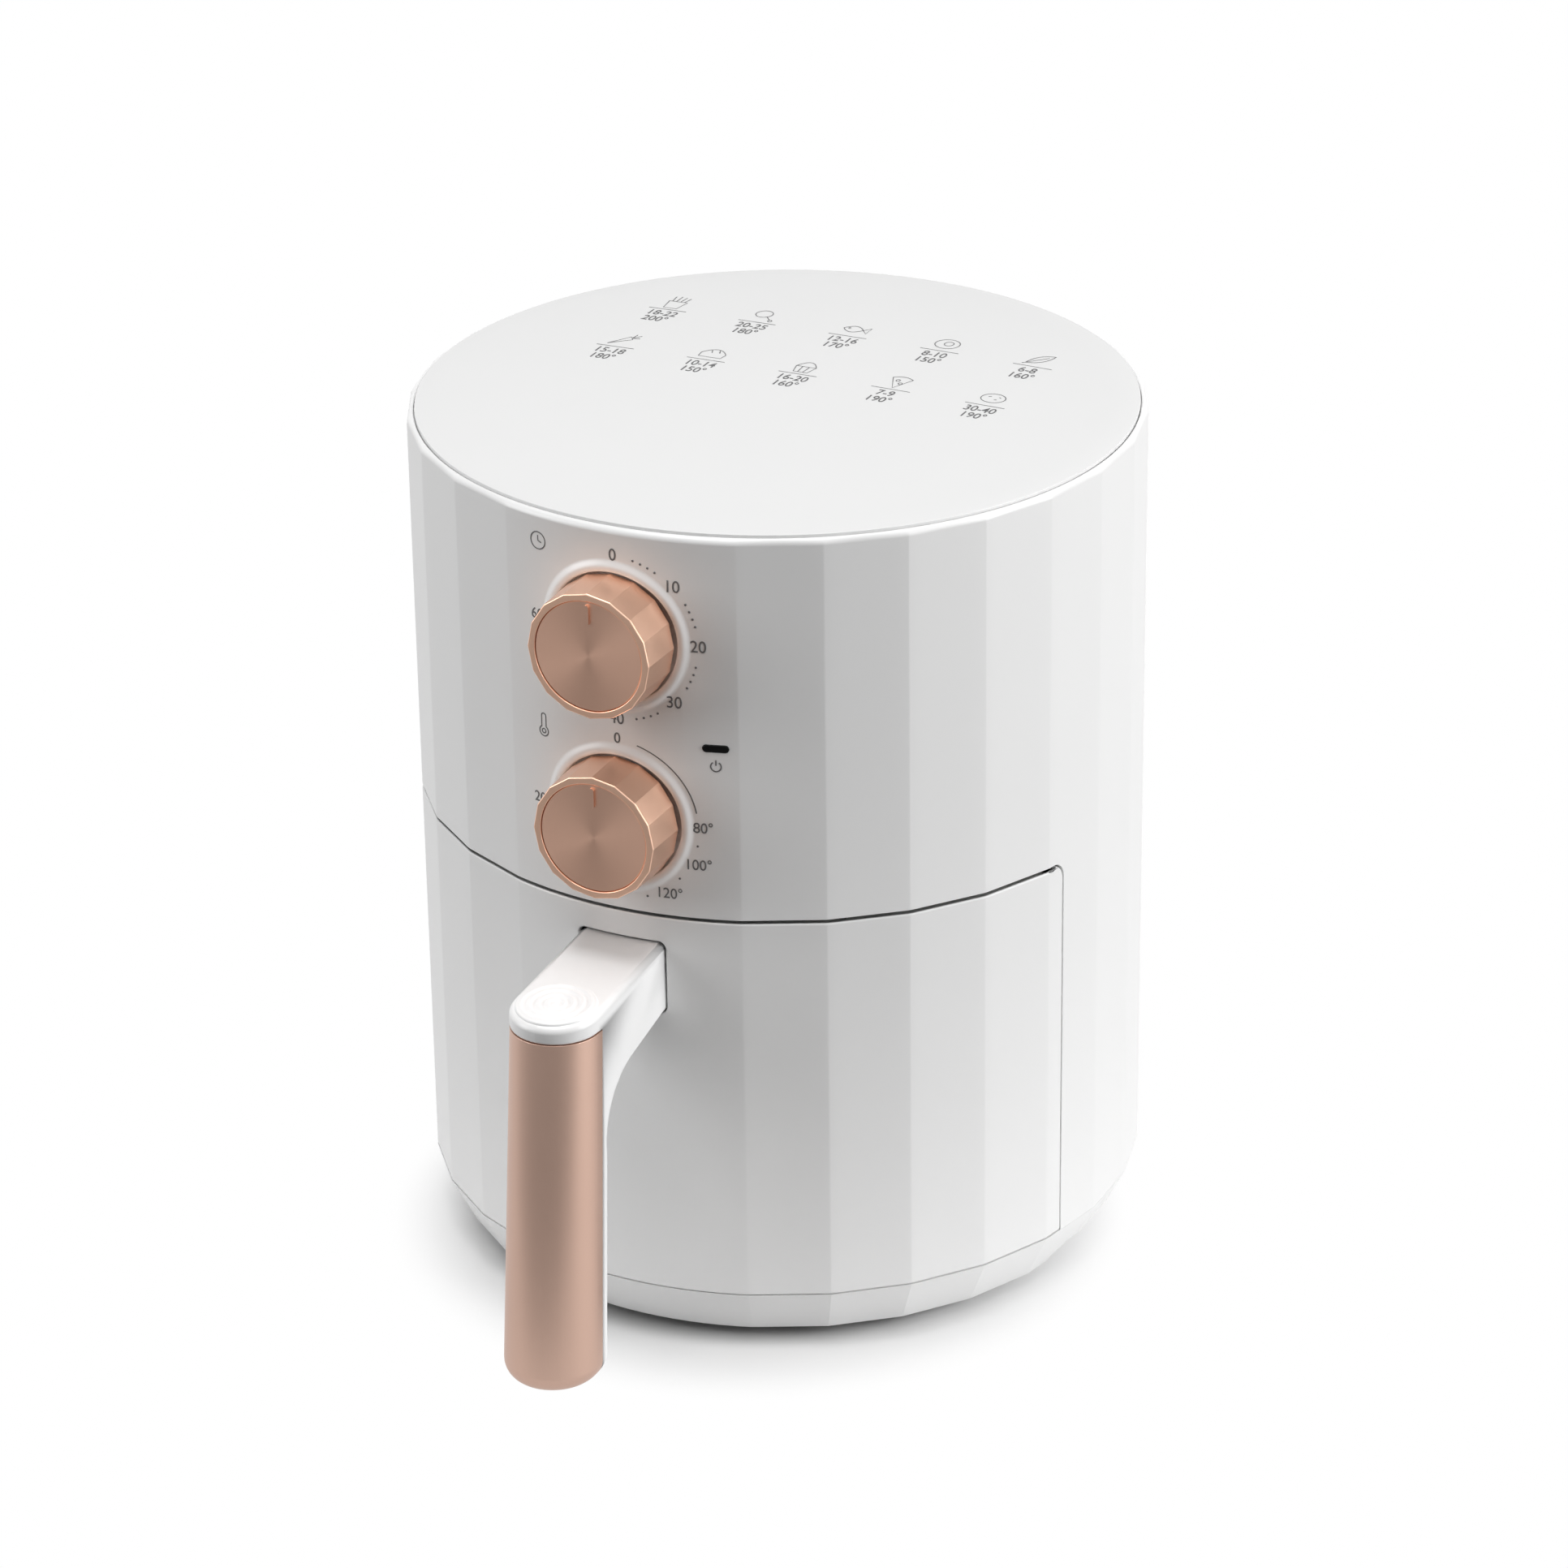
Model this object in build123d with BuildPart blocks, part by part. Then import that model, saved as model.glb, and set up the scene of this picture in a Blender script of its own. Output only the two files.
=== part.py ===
from build123d import *
import os
from math import atan2, cos, degrees, radians, sin, sqrt

# A hot-air fryer with a pull-out drawer, in millimetres.
# +Z is up, the front faces -Y and the counter is z = 0.
# The body axis stands behind the origin, because the handle reaches far out in front.

# Clearances
seam_gap = 0.8
moving_gap = 0.5
seat_gap = 0.1
shaft_clearance = 0.05

# Outer body
body_radius = 130.0
facet_count = 28
panel_facets = 3
foot_height = 4.0
base_height = 17.8
drawer_height = 147.4
upper_height = 141.0
base_taper = 9.0
wall = 2.5
rim_round = 3.0
door_half_angle = 74.5
door_corner = 6.0

# Top cover
cover_inset = 2.5
cover_thickness = 3.0
cover_crown = 2.2
cover_ledge = 2.5
cover_ledge_width = 6.0
cover_skirt = 5.0
cover_skirt_wall = 2.0

# Base and feet
base_floor = 3.0
base_rim = 21.0
base_vent_length = 44.0
base_vent_width = 4.0
base_vent_count = 7
base_vent_pitch = 12.0
lift_length = 62.0
lift_ramp = 10.0
lift_height = 5.5
lift_depth = 16.0
lift_round = 4.0
foot_inset = 15.0
foot_radius = 9.0
foot_edge = 0.8
foot_plug_radius = 3.5
foot_plug_length = 6.0
base_screw_inset = 9.2
base_screw_turn = 22.0
base_screw_sink = 4.0
base_screw_end = 2.0

# Dials
timer_drop = 40.0
dial_spacing = 67.0
collar_width = 3.6
collar_rise = 1.0
collar_round = 0.8
dial_well_depth = 3.0
dial_backing = 4.0
knob_sides = 16
knob_base_radius = 24.0
knob_taper = 1.6
knob_height = 20.2
knob_well_gap = 0.8
knob_rim = 2.4
knob_hub_radius = 6.5
knob_web = 3.2
cap_ledge = 1.25
cap_sink = 0.7
cap_thickness = 1.2
pointer_length = 6.4
pointer_width = 1.2
pointer_height = 0.4
pointer_inset = 1.2
dial_shaft_radius = 3.0
dial_shaft_grip = 12.0
dial_hole_gap = 1.0
timer_width = 46.0
timer_depth = 34.0
timer_corner = 4.0
thermostat_radius = 16.0
thermostat_depth = 18.0
control_screw_circle = 12.5
control_screw_length = 9.0

# Indicator window
indicator_turn = 15.8
indicator_drop = 36.8
indicator_length = 9.6
indicator_width = 2.8
indicator_proud = 0.3
lamp_depth = 8.0
lamp_margin = 2.0

# Hot chamber
floor_thickness = 1.0
liner_inset = 14.0
liner_wall = 1.2
liner_mouth_margin = 0.5
rail_width = 8.5
rail_thickness = 3.0
shelf_lap = 8.0
shelf_lift = 2.0
shelf_thickness = 2.5
shield_lip = 18.0
shield_height = 39.0
shield_sheet = 1.2
shield_round = 8.0
shield_hole_radius = 8.0

# Heater and guard
element_radius = 3.25
element_edge = 26.0
element_pitch = 18.0
element_sweep = 320.0
element_start = 20.0
element_drop = 29.0
element_bend = 10.0
element_tail_gap = 2.0
clip_width = 9.0
clip_sheet = 1.2
clip_toe = 6.0
clip_overhang = 10.0
clip_turns = (70.0, 180.0, 290.0)
guard_band = 3.0
guard_thickness = 1.5
guard_inner = 16.0
guard_ring_pitch = 23.0
guard_rings = 4
guard_spokes = 8
guard_rod = 2.2

# Motor and fans
shaft_radius = 3.0
shaft_end = 4.0
spacer_height = 10.0
spacer_radius = 4.0
spacer_bore = 2.0
spacer_circle = 54.0
spacer_edge = 8.0
spacer_count = 3
motor_plate_sheet = 1.5
bracket_sheet = 2.0
bracket_width = 16.0
core_width = 60.0
core_front = 32.0
core_leg = 14.0
core_stack = 20.0
core_bore = 14.0
core_window_width = 34.0
core_window_front = 20.0
rotor_gap = 0.5
rotor_overhang = 1.5
coil_wind = 8.0
coil_gap = 1.0
coil_corner = 5.0
hot_fan_tip_gap = 4.75
hot_fan_sheet = 1.2
hot_fan_blades = 10
hot_fan_blade_height = 13.0
hot_fan_blade_inner = 16.0
hot_fan_hub_radius = 7.0
hot_fan_hub_height = 8.0
hot_fan_drop = 7.0
fan_nut_across = 10.0
fan_nut_height = 5.0
cool_fan_radius = 55.0
cool_fan_blades = 7
cool_fan_chord = 20.0
cool_fan_blade = 1.6
cool_fan_pitch = 32.0
cool_fan_hub_radius = 12.0
cool_fan_hub_height = 13.0
cool_fan_lift = 6.0

# Rear outlet
grille_facets = 5
grille_lift = 4.3
grille_height = 84.0
grille_rows = 9
grille_slot_width = 20.0
grille_slot_height = 4.5
duct_width = 46.0
duct_height = 18.0
duct_wall = 1.2
duct_rise = 14.0

# Cord gland and terminals
gland_lift = 22.2
gland_bore = 3.6
gland_wall = 2.4
gland_flange_lap = 3.0
gland_flange = 3.0
gland_length = 9.0
terminal_lift = 23.0
terminal_length = 25.0
terminal_depth = 6.0
terminal_height = 14.0

# Safety parts
fuse_radius = 2.5
fuse_length = 16.0
fuse_reach = 72.0
fuse_turn = 130.0
switch_turn = 35.0
switch_inset = 3.7
switch_length = 20.0
switch_depth = 6.5
switch_height = 11.0
plunger_radius = 1.6
plunger_stem = 6.0

# Drawer
door_depth = 11.5
door_back_wall = 2.0
door_back_top = 3.0
door_back_foot = 3.0
door_back_inset_angle = 2.5
pan_lift = 7.0
pan_depth = 121.0
pan_side_gap = 5.0
pan_flange = 8.5
pan_taper = 6.5
pan_sheet = 1.5
pan_corner = 10.0
pan_bracket_half_angle = 14.0
pan_bracket_drop = 20.0
pan_bracket_sheet = 1.4
pan_bracket_lap = 11.5
rivet_spacing = 36.0
rivet_inset = 6.5

# Crisper plate
plate_inset = 7.0
plate_sheet = 2.0
plate_leg = 12.0
plate_leg_radius = 3.5
plate_leg_inset = 9.0
plate_leg_turn = 37.5
plate_hole_radius = 4.2
plate_rings = 4
plate_ring_first = 22.0
plate_ring_margin = 13.0
plate_ring_holes = 6
plate_grip_hole = 9.0
bumper_count = 4
bumper_wall = 2.4
bumper_overlap = 4.0
bumper_half_angle = 4.5

# Handle
handle_half_width = 16.0
handle_gap = 0.6
arm_drop = 11.6
arm_depth = 26.2
arm_length = 48.0
arm_fall = 4.4
arm_round = 3.4
arm_bend_length = 25.0
arm_bend_fall = 5.4
arm_web_depth = 26.0
pad_margin = 1.8
pad_groove = 1.0
pad_sink = 0.5
grip_seat = 10.6
grip_length = 130.5
grip_back_inset = 7.5
grip_lean = 10.2
grip_flare = 1.5
grip_strip = 5.0
grip_side = 2.5
grip_wall = 1.2
grip_end_round = 7.0
handle_screw_spacing = 14.0
handle_screw_length = 18.0

# Screws
screw_radius = 1.5
screw_head_radius = 2.8
screw_head_height = 1.6

# Outer body, worked out
facet_angle = 360 / facet_count
panel_half_angle = panel_facets * facet_angle / 2
facet_reach = body_radius * cos(radians(facet_angle / 2))
inner_facet_reach = (body_radius - wall) * cos(radians(facet_angle / 2))
door_low = foot_height + base_height
door_high = door_low + drawer_height
body_high = door_high + upper_height
door_angle = door_half_angle - degrees(seam_gap / body_radius)
cover_radius = body_radius - cover_inset
cover_pocket_radius = cover_radius + seam_gap / 2
cover_ledge_radius = cover_pocket_radius - cover_ledge_width

# Chamber and drawer, worked out
liner_radius = body_radius - liner_inset
liner_mouth_angle = door_half_angle + liner_mouth_margin
floor_radius = liner_radius + liner_wall
floor_high = door_low + floor_thickness
rail_radius = liner_radius - rail_width
shelf_radius = liner_radius - shelf_lap
shelf_low = door_high + shelf_lift
shelf_high = shelf_low + shelf_thickness
door_back_radius = body_radius - door_depth
door_back_low = door_low + seam_gap + door_back_foot
door_back_high = door_high - seam_gap - door_back_top
pan_flange_radius = liner_radius - pan_side_gap
pan_top_radius = pan_flange_radius - pan_flange
pan_low_radius = pan_top_radius - pan_taper
pan_low = door_low + pan_lift
pan_high = pan_low + pan_depth
pan_inside = pan_low + pan_sheet
rail_high = pan_high - pan_sheet - moving_gap
leaf_high = pan_high - pan_sheet
leaf_outer = door_back_radius - seat_gap
pan_bracket_inner = door_back_radius - pan_bracket_lap
rivet_reach = door_back_radius - rivet_inset
plate_low = pan_inside + plate_leg
plate_radius = pan_low_radius - plate_inset
plate_leg_circle = plate_radius - plate_leg_inset
plate_ring_pitch = (plate_radius - plate_ring_margin - plate_ring_first) / (plate_rings - 1)
bumper_reach = pan_low_radius - pan_sheet - moving_gap

# Base, worked out
base_foot_radius = body_radius - base_taper
base_well_radius = base_foot_radius - base_rim
foot_circle = base_foot_radius - foot_inset
base_screw_circle = floor_radius - base_screw_inset

# Heater, motor and fans, worked out
shield_radius = liner_radius - shield_lip
shield_high = shelf_high + shield_height
element_outer = shield_radius - element_edge
element_inner = element_outer - element_pitch
hot_fan_radius = element_inner - element_radius - hot_fan_tip_gap
element_height = shield_high - element_drop
plate_level = shield_high + spacer_height
element_tail = plate_level - element_tail_gap - element_height - element_bend
clip_inner = element_inner - clip_toe
clip_outer = element_outer + clip_overhang
guard_radius = shelf_radius - moving_gap
motor_plate_radius = spacer_circle + spacer_edge
bracket_leg = coil_wind + coil_gap - bracket_sheet
core_window_back = core_window_front + coil_wind + coil_gap
core_back = core_window_back + core_leg
core_low = plate_level + motor_plate_sheet + bracket_sheet + bracket_leg
core_high = core_low + core_stack
bracket_high = core_high + bracket_leg + bracket_sheet
hot_fan_level = shield_high - hot_fan_drop
hot_fan_low = hot_fan_level - hot_fan_hub_height
cool_fan_low = bracket_high + cool_fan_lift
shaft_low = hot_fan_low - fan_nut_height - shaft_end
shaft_high = cool_fan_low + cool_fan_hub_height + shaft_end

# Dials and indicator, worked out
timer_height = body_high - timer_drop
thermostat_height = timer_height - dial_spacing
dial_heights = (timer_height, thermostat_height)
indicator_height = timer_height - indicator_drop
collar_radius = knob_base_radius + seam_gap + collar_width
dial_hole_radius = dial_shaft_radius + dial_hole_gap
dial_well_reach = body_radius - dial_well_depth
control_reach = dial_well_reach - dial_backing
knob_back_reach = dial_well_reach + knob_well_gap
knob_face_reach = knob_back_reach + knob_height
knob_face_radius = knob_base_radius - knob_taper
cap_radius = knob_face_radius - knob_rim
cap_back_reach = knob_face_reach - cap_sink - cap_thickness
web_reach = cap_back_reach - knob_web
pointer_reach = cap_radius - pointer_inset - pointer_length / 2

# Rear outlet, gland and switch, worked out
grille_half_angle = grille_facets * facet_angle / 2
grille_low = shelf_high + grille_lift
grille_high = grille_low + grille_height
duct_middle = shelf_high + duct_rise + duct_height / 2
gland_height = door_low + gland_lift
gland_radius = gland_bore + gland_wall
gland_flange_radius = gland_radius + gland_flange_lap
switch_reach = door_back_radius + switch_inset
plunger_low = door_back_high + moving_gap

# Handle, worked out
arm_top = door_high - arm_drop
arm_root_bottom = arm_top - arm_depth
arm_root_reach = door_back_radius + door_back_wall + seat_gap
pad_reach = body_radius + arm_length
pad_radius = handle_half_width - pad_margin
arm_front_reach = pad_reach + handle_half_width
arm_slope = arm_fall / (arm_front_reach - body_radius)
arm_root_top = arm_top + arm_slope * (body_radius - arm_root_reach)
arm_shell_top = arm_top + arm_slope * wall
pad_height = arm_top - arm_slope * arm_length
arm_bend_reach = body_radius + arm_bend_length
arm_bend_height = arm_root_bottom - arm_bend_fall
arm_under_height = arm_bend_height - arm_web_depth
grip_top = arm_top - grip_seat
grip_bottom = grip_top - grip_length
grip_top_back = pad_reach - grip_back_inset
arm_under_reach = grip_top_back + grip_lean * (grip_top - arm_under_height) / grip_length
core_inset = grip_wall + seat_gap
handle_screw_height = leaf_high - pan_bracket_drop / 2

# The body axis, worked out so that the origin is under the middle of the whole object
grip_top_front = grip_top_back + grip_strip + grip_side + handle_half_width
front_reach = grip_top_front + (grip_lean + grip_flare) * (grip_length - grip_end_round) / grip_length
rear_reach = facet_reach + gland_flange
axis_y = (front_reach - rear_reach) / 2
body_axis = Axis((0, axis_y, 0), (0, 0, 1))


def level(height):
    """A flat plane at this height, centred on the body axis."""
    return Plane(origin=(0, axis_y, height))


def facing(turn, reach, height):
    """An upright plane that faces away from the axis, turned from the front towards +X."""
    across = cos(radians(turn))
    along = sin(radians(turn))
    place = (reach * along, axis_y - reach * across, height)
    return Plane(origin=place, x_dir=(across, along, 0), z_dir=(along, -across, 0))


def facing_down(turn, reach, height):
    """A flat plane that faces the counter, with its local x along the shell."""
    upright = facing(turn, reach, height)
    return Plane(origin=upright.origin, x_dir=upright.x_dir, z_dir=(0, 0, -1))


def side_plane():
    """The plane through the body axis whose local x is the reach to the front and local y the height."""
    return Plane(origin=(0, axis_y, 0), x_dir=(0, -1, 0), z_dir=(-1, 0, 0))


def ring_face(outer, inner):
    with BuildSketch() as outline:
        Circle(outer)
        Circle(inner, mode=Mode.SUBTRACT)
    return outline.sketch


def facet_corner(radius, index):
    turn = radians(panel_half_angle + index * facet_angle)
    return (radius * sin(turn), -radius * cos(turn))


def facet_face(radius):
    """The body's plan: flat facets all round, with one smooth arc for the front panel."""
    corners = [facet_corner(radius, index) for index in range(facet_count - panel_facets + 1)]
    with BuildSketch() as outline:
        with BuildLine():
            Polyline(*corners)
            ThreePointArc(corners[-1], (0, -radius), corners[0])
        make_face()
    return outline.sketch


def sector_face(inner, outer, half_angle, middle=0):
    """A slice of a flat ring, centred on the direction that middle gives."""
    start = middle - half_angle - 90
    with BuildSketch() as outline:
        with BuildLine():
            outer_arc = CenterArc((0, 0), outer, start, 2 * half_angle)
            inner_arc = CenterArc((0, 0), inner, start, 2 * half_angle)
            Line(outer_arc @ 0, inner_arc @ 0)
            Line(outer_arc @ 1, inner_arc @ 1)
        make_face()
    return outline.sketch


def sector_block(inner, outer, half_angle, low, high, middle=0):
    with BuildPart() as block:
        with BuildSketch(level(low)):
            add(sector_face(inner, outer, half_angle, middle))
        extrude(amount=high - low)
    return block.part


def door_block(half_angle, low, high, corner):
    """The space of the drawer front, with its two upper corners rounded."""
    block = sector_block(shelf_radius, body_radius + wall, half_angle, low, high)
    upper = block.edges().group_by(Axis.Z)[-1].filter_by(GeomType.LINE)
    return block.fillet(corner, upper)


def facet_shell(low, high):
    with BuildPart() as shell:
        with BuildSketch(level(low)):
            add(facet_face(body_radius))
            add(facet_face(body_radius - wall), mode=Mode.SUBTRACT)
        extrude(amount=high - low)
    return shell.part


def screw(place, length):
    """A pan-head screw whose head stands on the plane and whose shank runs into the material."""
    with BuildPart() as fastener:
        with BuildSketch(place):
            Circle(screw_head_radius)
        extrude(amount=screw_head_height)
        with BuildSketch(place):
            Circle(screw_radius)
        extrude(amount=-length)
    return fastener.part


def control_screw_places(height):
    for side in (-1, 1):
        place = facing(0, dial_well_reach, height)
        yield place.shift_origin(place.from_local_coords((side * control_screw_circle, 0)))


def dial_boss(height):
    """The raised collar round a knob, which follows the curve of the front panel."""
    with BuildPart() as boss:
        with BuildSketch(facing(0, control_reach, height)):
            Circle(collar_radius)
        extrude(amount=body_radius + collar_rise - control_reach)
        with BuildSketch(level(height - collar_radius)):
            Circle(body_radius + collar_rise)
        extrude(amount=2 * collar_radius, mode=Mode.INTERSECT)
        fillet(boss.faces().sort_by(Axis.Y)[0].edges(), radius=collar_round)
    return boss.part


def base_screw_spots():
    for quarter in range(4):
        turn = radians(base_screw_turn + quarter * 90)
        yield (base_screw_circle * cos(turn), base_screw_circle * sin(turn))


def element_end(radius):
    """One end of the element: the end of its ring, the middle of its bend, and its upright's foot and tip."""
    start = radians(element_start)
    leave = Vector(sin(start), -cos(start), 0)
    rise = Vector(0, 0, 1)
    ring_end = Vector(radius * cos(start), radius * sin(start), 0)
    centre = ring_end + rise * element_bend
    middle = centre + (leave - rise) * (element_bend / sqrt(2))
    foot = centre + leave * element_bend
    return tuple(ring_end), tuple(middle), tuple(foot), tuple(foot + rise * element_tail)


def element_tail_spots():
    for radius in (element_outer, element_inner):
        ring_end, middle, foot, tip = element_end(radius)
        yield foot[:2]


def rivet_spots():
    for side in (-1, 1):
        yield (side * rivet_spacing / 2, -rivet_reach)


def handle_screw_places():
    """Planes that face the axis, where the heads bear on the pan bracket."""
    leaf_inner = leaf_outer - pan_bracket_sheet
    head_edge = handle_screw_spacing / 2 + screw_head_radius
    reach = sqrt(leaf_inner**2 - head_edge**2)
    for side in (-1, 1):
        place = (side * handle_screw_spacing / 2, axis_y - reach, handle_screw_height)
        yield Plane(origin=place, x_dir=(-1, 0, 0), z_dir=(0, 1, 0))


def grip_size(height):
    """Half width of the grip and reach of its back at this height: it leans out and widens downwards."""
    share = (grip_top - height) / grip_length
    return handle_half_width + share * grip_flare, grip_top_back + share * grip_lean


def strip_block():
    """The white strip behind the grip: it leans with the grip and has the same rounded lower corners."""
    top_half, top_back = grip_size(grip_top)
    low_half, low_back = grip_size(grip_bottom)
    lean = atan2(grip_lean, grip_length)
    back = Plane(origin=(0, axis_y - top_back, grip_top), x_dir=(1, 0, 0), z_dir=(0, -cos(lean), sin(lean)))
    slope_length = grip_length / cos(lean)
    with BuildPart() as block:
        with BuildSketch(back) as outline:
            with BuildLine():
                left = Line((-top_half, 0), (-low_half, -slope_length))
                right = Line((top_half, 0), (low_half, -slope_length))
                Line(left @ 0, right @ 0)
                Line(left @ 1, right @ 1)
            make_face()
            fillet(outline.vertices().group_by(Axis.Y)[0], radius=grip_end_round)
        extrude(amount=grip_strip * cos(lean))
    return block.part


def grip_face(height, inset):
    half_width, back = grip_size(height)
    half_width = half_width - inset
    start = -back - grip_strip
    with BuildSketch() as outline:
        with BuildLine():
            left = Line((-half_width, start), (-half_width, start - grip_side))
            right = Line((half_width, start), (half_width, start - grip_side))
            ThreePointArc(left @ 1, (0, start - grip_side - half_width), right @ 1)
            Line(left @ 0, right @ 0)
        make_face()
    return outline.sketch


def grip_block(inset, low, high, end_round):
    """The half-round grip in front of the back strip, with its lower end rounded."""
    with BuildPart() as block:
        for height in (high, low):
            with BuildSketch(level(height)):
                add(grip_face(height, inset))
        loft(ruled=True)
        low_edges = block.edges().group_by(Axis.Z)[0].sort_by(Axis.Y)
        fillet(low_edges[:-1], radius=end_round)
    return block.part


os.makedirs("parts", exist_ok=True)

# Housing: a faceted shell with a round rim, a shelf for the hot chamber and two dial wells
with BuildPart() as housing:
    add(facet_shell(door_low, body_high))
    with BuildSketch(level(body_high - cover_thickness - cover_ledge)):
        add(facet_face(body_radius - wall))
    extrude(amount=cover_thickness + cover_ledge)
    with BuildSketch(level(shelf_low)):
        add(facet_face(body_radius - wall))
        Circle(shelf_radius, mode=Mode.SUBTRACT)
    extrude(amount=shelf_thickness)
    with BuildSketch(side_plane()):
        with BuildLine():
            low_edge = Line((0, door_low), (body_radius, door_low))
            outside = Line(low_edge @ 1, (body_radius, body_high - rim_round))
            rim = RadiusArc(outside @ 1, (body_radius - rim_round, body_high), -rim_round)
            Line(rim @ 1, (0, body_high))
            Line((0, body_high), (0, door_low))
        make_face()
    revolve(axis=body_axis, mode=Mode.INTERSECT)
    with BuildSketch(level(body_high)):
        Circle(cover_pocket_radius)
    extrude(amount=-cover_thickness, mode=Mode.SUBTRACT)
    with BuildSketch(level(body_high)):
        Circle(cover_ledge_radius)
    extrude(amount=-cover_thickness - cover_ledge, mode=Mode.SUBTRACT)
    add(door_block(door_half_angle, door_low, door_high, door_corner), mode=Mode.SUBTRACT)
    for height in dial_heights:
        add(dial_boss(height))
        with BuildSketch(facing(0, dial_well_reach, height)):
            Circle(knob_base_radius + seam_gap)
        extrude(amount=body_radius, mode=Mode.SUBTRACT)
        with BuildSketch(facing(0, dial_well_reach, height)):
            Circle(dial_hole_radius)
        extrude(amount=-dial_backing, mode=Mode.SUBTRACT)
        with BuildSketch(*control_screw_places(height)):
            Circle(screw_radius + seat_gap)
        extrude(amount=-dial_backing, mode=Mode.SUBTRACT)
    with BuildSketch(facing(indicator_turn, body_radius, indicator_height)):
        SlotOverall(indicator_length, indicator_width)
    extrude(amount=wall, both=True, mode=Mode.SUBTRACT)
    add(
        sector_block(liner_radius, body_radius + wall, grille_half_angle, grille_low, grille_high, 180),
        mode=Mode.SUBTRACT,
    )
    with BuildSketch(facing(180, body_radius, gland_height)):
        Circle(gland_radius + seat_gap)
    extrude(amount=2 * wall, both=True, mode=Mode.SUBTRACT)
    with BuildSketch(facing_down(switch_turn, switch_reach, shelf_high)):
        Circle(plunger_radius + moving_gap)
    extrude(amount=shelf_thickness, mode=Mode.SUBTRACT)
housing.part.label = "housing"
export_step(housing.part, "parts/housing.step")

# Top cover: a slightly crowned disc that drops into the rim, with a locating skirt
with BuildPart() as top_cover:
    with BuildSketch(side_plane()):
        with BuildLine():
            underside = Line((0, body_high - cover_thickness), (cover_radius, body_high - cover_thickness))
            edge = Line(underside @ 1, (cover_radius, body_high))
            crown = TangentArc((0, body_high + cover_crown), edge @ 1, tangent=(1, 0))
            Line(crown @ 0, underside @ 0)
        make_face()
    revolve(axis=body_axis)
    with BuildSketch(level(body_high - cover_thickness)):
        Circle(cover_ledge_radius - seat_gap)
        Circle(cover_ledge_radius - seat_gap - cover_skirt_wall, mode=Mode.SUBTRACT)
    extrude(amount=-cover_ledge - cover_skirt)
top_cover.part.label = "top_cover"
export_step(top_cover.part, "parts/top_cover.step")

# Base: a faceted tray that tapers in to the counter, with a lifting recess on each side
with BuildPart() as base:
    with BuildSketch(level(foot_height)):
        add(facet_face(base_foot_radius))
    with BuildSketch(level(door_low)):
        add(facet_face(body_radius))
    loft(ruled=True)
    with BuildSketch(level(foot_height + base_floor)):
        Circle(base_well_radius)
    extrude(amount=base_height, mode=Mode.SUBTRACT)
    with BuildSketch(level(foot_height)):
        with GridLocations(base_vent_pitch, 0, base_vent_count, 1):
            SlotOverall(base_vent_length, base_vent_width, rotation=90)
    extrude(amount=base_floor, mode=Mode.SUBTRACT)
    for side in (-90, 90):
        with BuildSketch(facing(side, base_foot_radius - lift_depth, foot_height)) as recess:
            with BuildLine():
                low_half = lift_length / 2
                high_half = low_half - lift_ramp
                Polyline((-low_half, 0), (-high_half, lift_height), (high_half, lift_height), (low_half, 0))
                Line((low_half, 0), (-low_half, 0))
            make_face()
            fillet(recess.vertices().group_by(Axis.Y)[-1], radius=lift_round)
        extrude(amount=body_radius - base_foot_radius + lift_depth, mode=Mode.SUBTRACT)
    with BuildSketch(level(foot_height)):
        with PolarLocations(foot_circle, 4, start_angle=45):
            Circle(foot_plug_radius)
    extrude(amount=foot_plug_length, mode=Mode.SUBTRACT)
    with BuildSketch(level(foot_height)):
        with Locations(*base_screw_spots()):
            Circle(screw_radius + seat_gap)
    extrude(amount=base_height, mode=Mode.SUBTRACT)
    with BuildSketch(level(foot_height)):
        with Locations(*base_screw_spots()):
            Circle(screw_head_radius + seat_gap)
    extrude(amount=base_screw_sink, mode=Mode.SUBTRACT)
base.part.label = "base"
export_step(base.part, "parts/base.step")

# Rubber feet, each pressed into the base by a plug
with BuildPart() as rubber_feet:
    with BuildSketch(level(0)):
        with PolarLocations(foot_circle, 4, start_angle=45):
            Circle(foot_radius)
    extrude(amount=foot_height)
    chamfer(rubber_feet.edges().group_by(Axis.Z)[0], length=foot_edge)
    with BuildSketch(level(foot_height)):
        with PolarLocations(foot_circle, 4, start_angle=45):
            Circle(foot_plug_radius)
    extrude(amount=foot_plug_length)
rubber_feet.part.label = "rubber_feet"
export_step(rubber_feet.part, "parts/rubber_feet.step")

# Screws that draw the base up to the chamber floor
with BuildPart() as base_screws:
    for spot in base_screw_spots():
        seat = Plane(origin=(spot[0], axis_y + spot[1], foot_height + base_screw_sink), z_dir=(0, 0, -1))
        add(screw(seat, base_height - base_screw_sink + floor_thickness + base_screw_end))
base_screws.part.label = "base_screws"
export_step(base_screws.part, "parts/base_screws.step")

# Chamber floor: the sheet that closes the hot chamber below the pan
with BuildPart() as chamber_floor:
    with BuildSketch(level(door_low)):
        Circle(floor_radius)
        with Locations(*base_screw_spots()):
            Circle(screw_radius + seat_gap, mode=Mode.SUBTRACT)
    extrude(amount=floor_thickness)
chamber_floor.part.label = "chamber_floor"
export_step(chamber_floor.part, "parts/chamber_floor.step")

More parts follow.
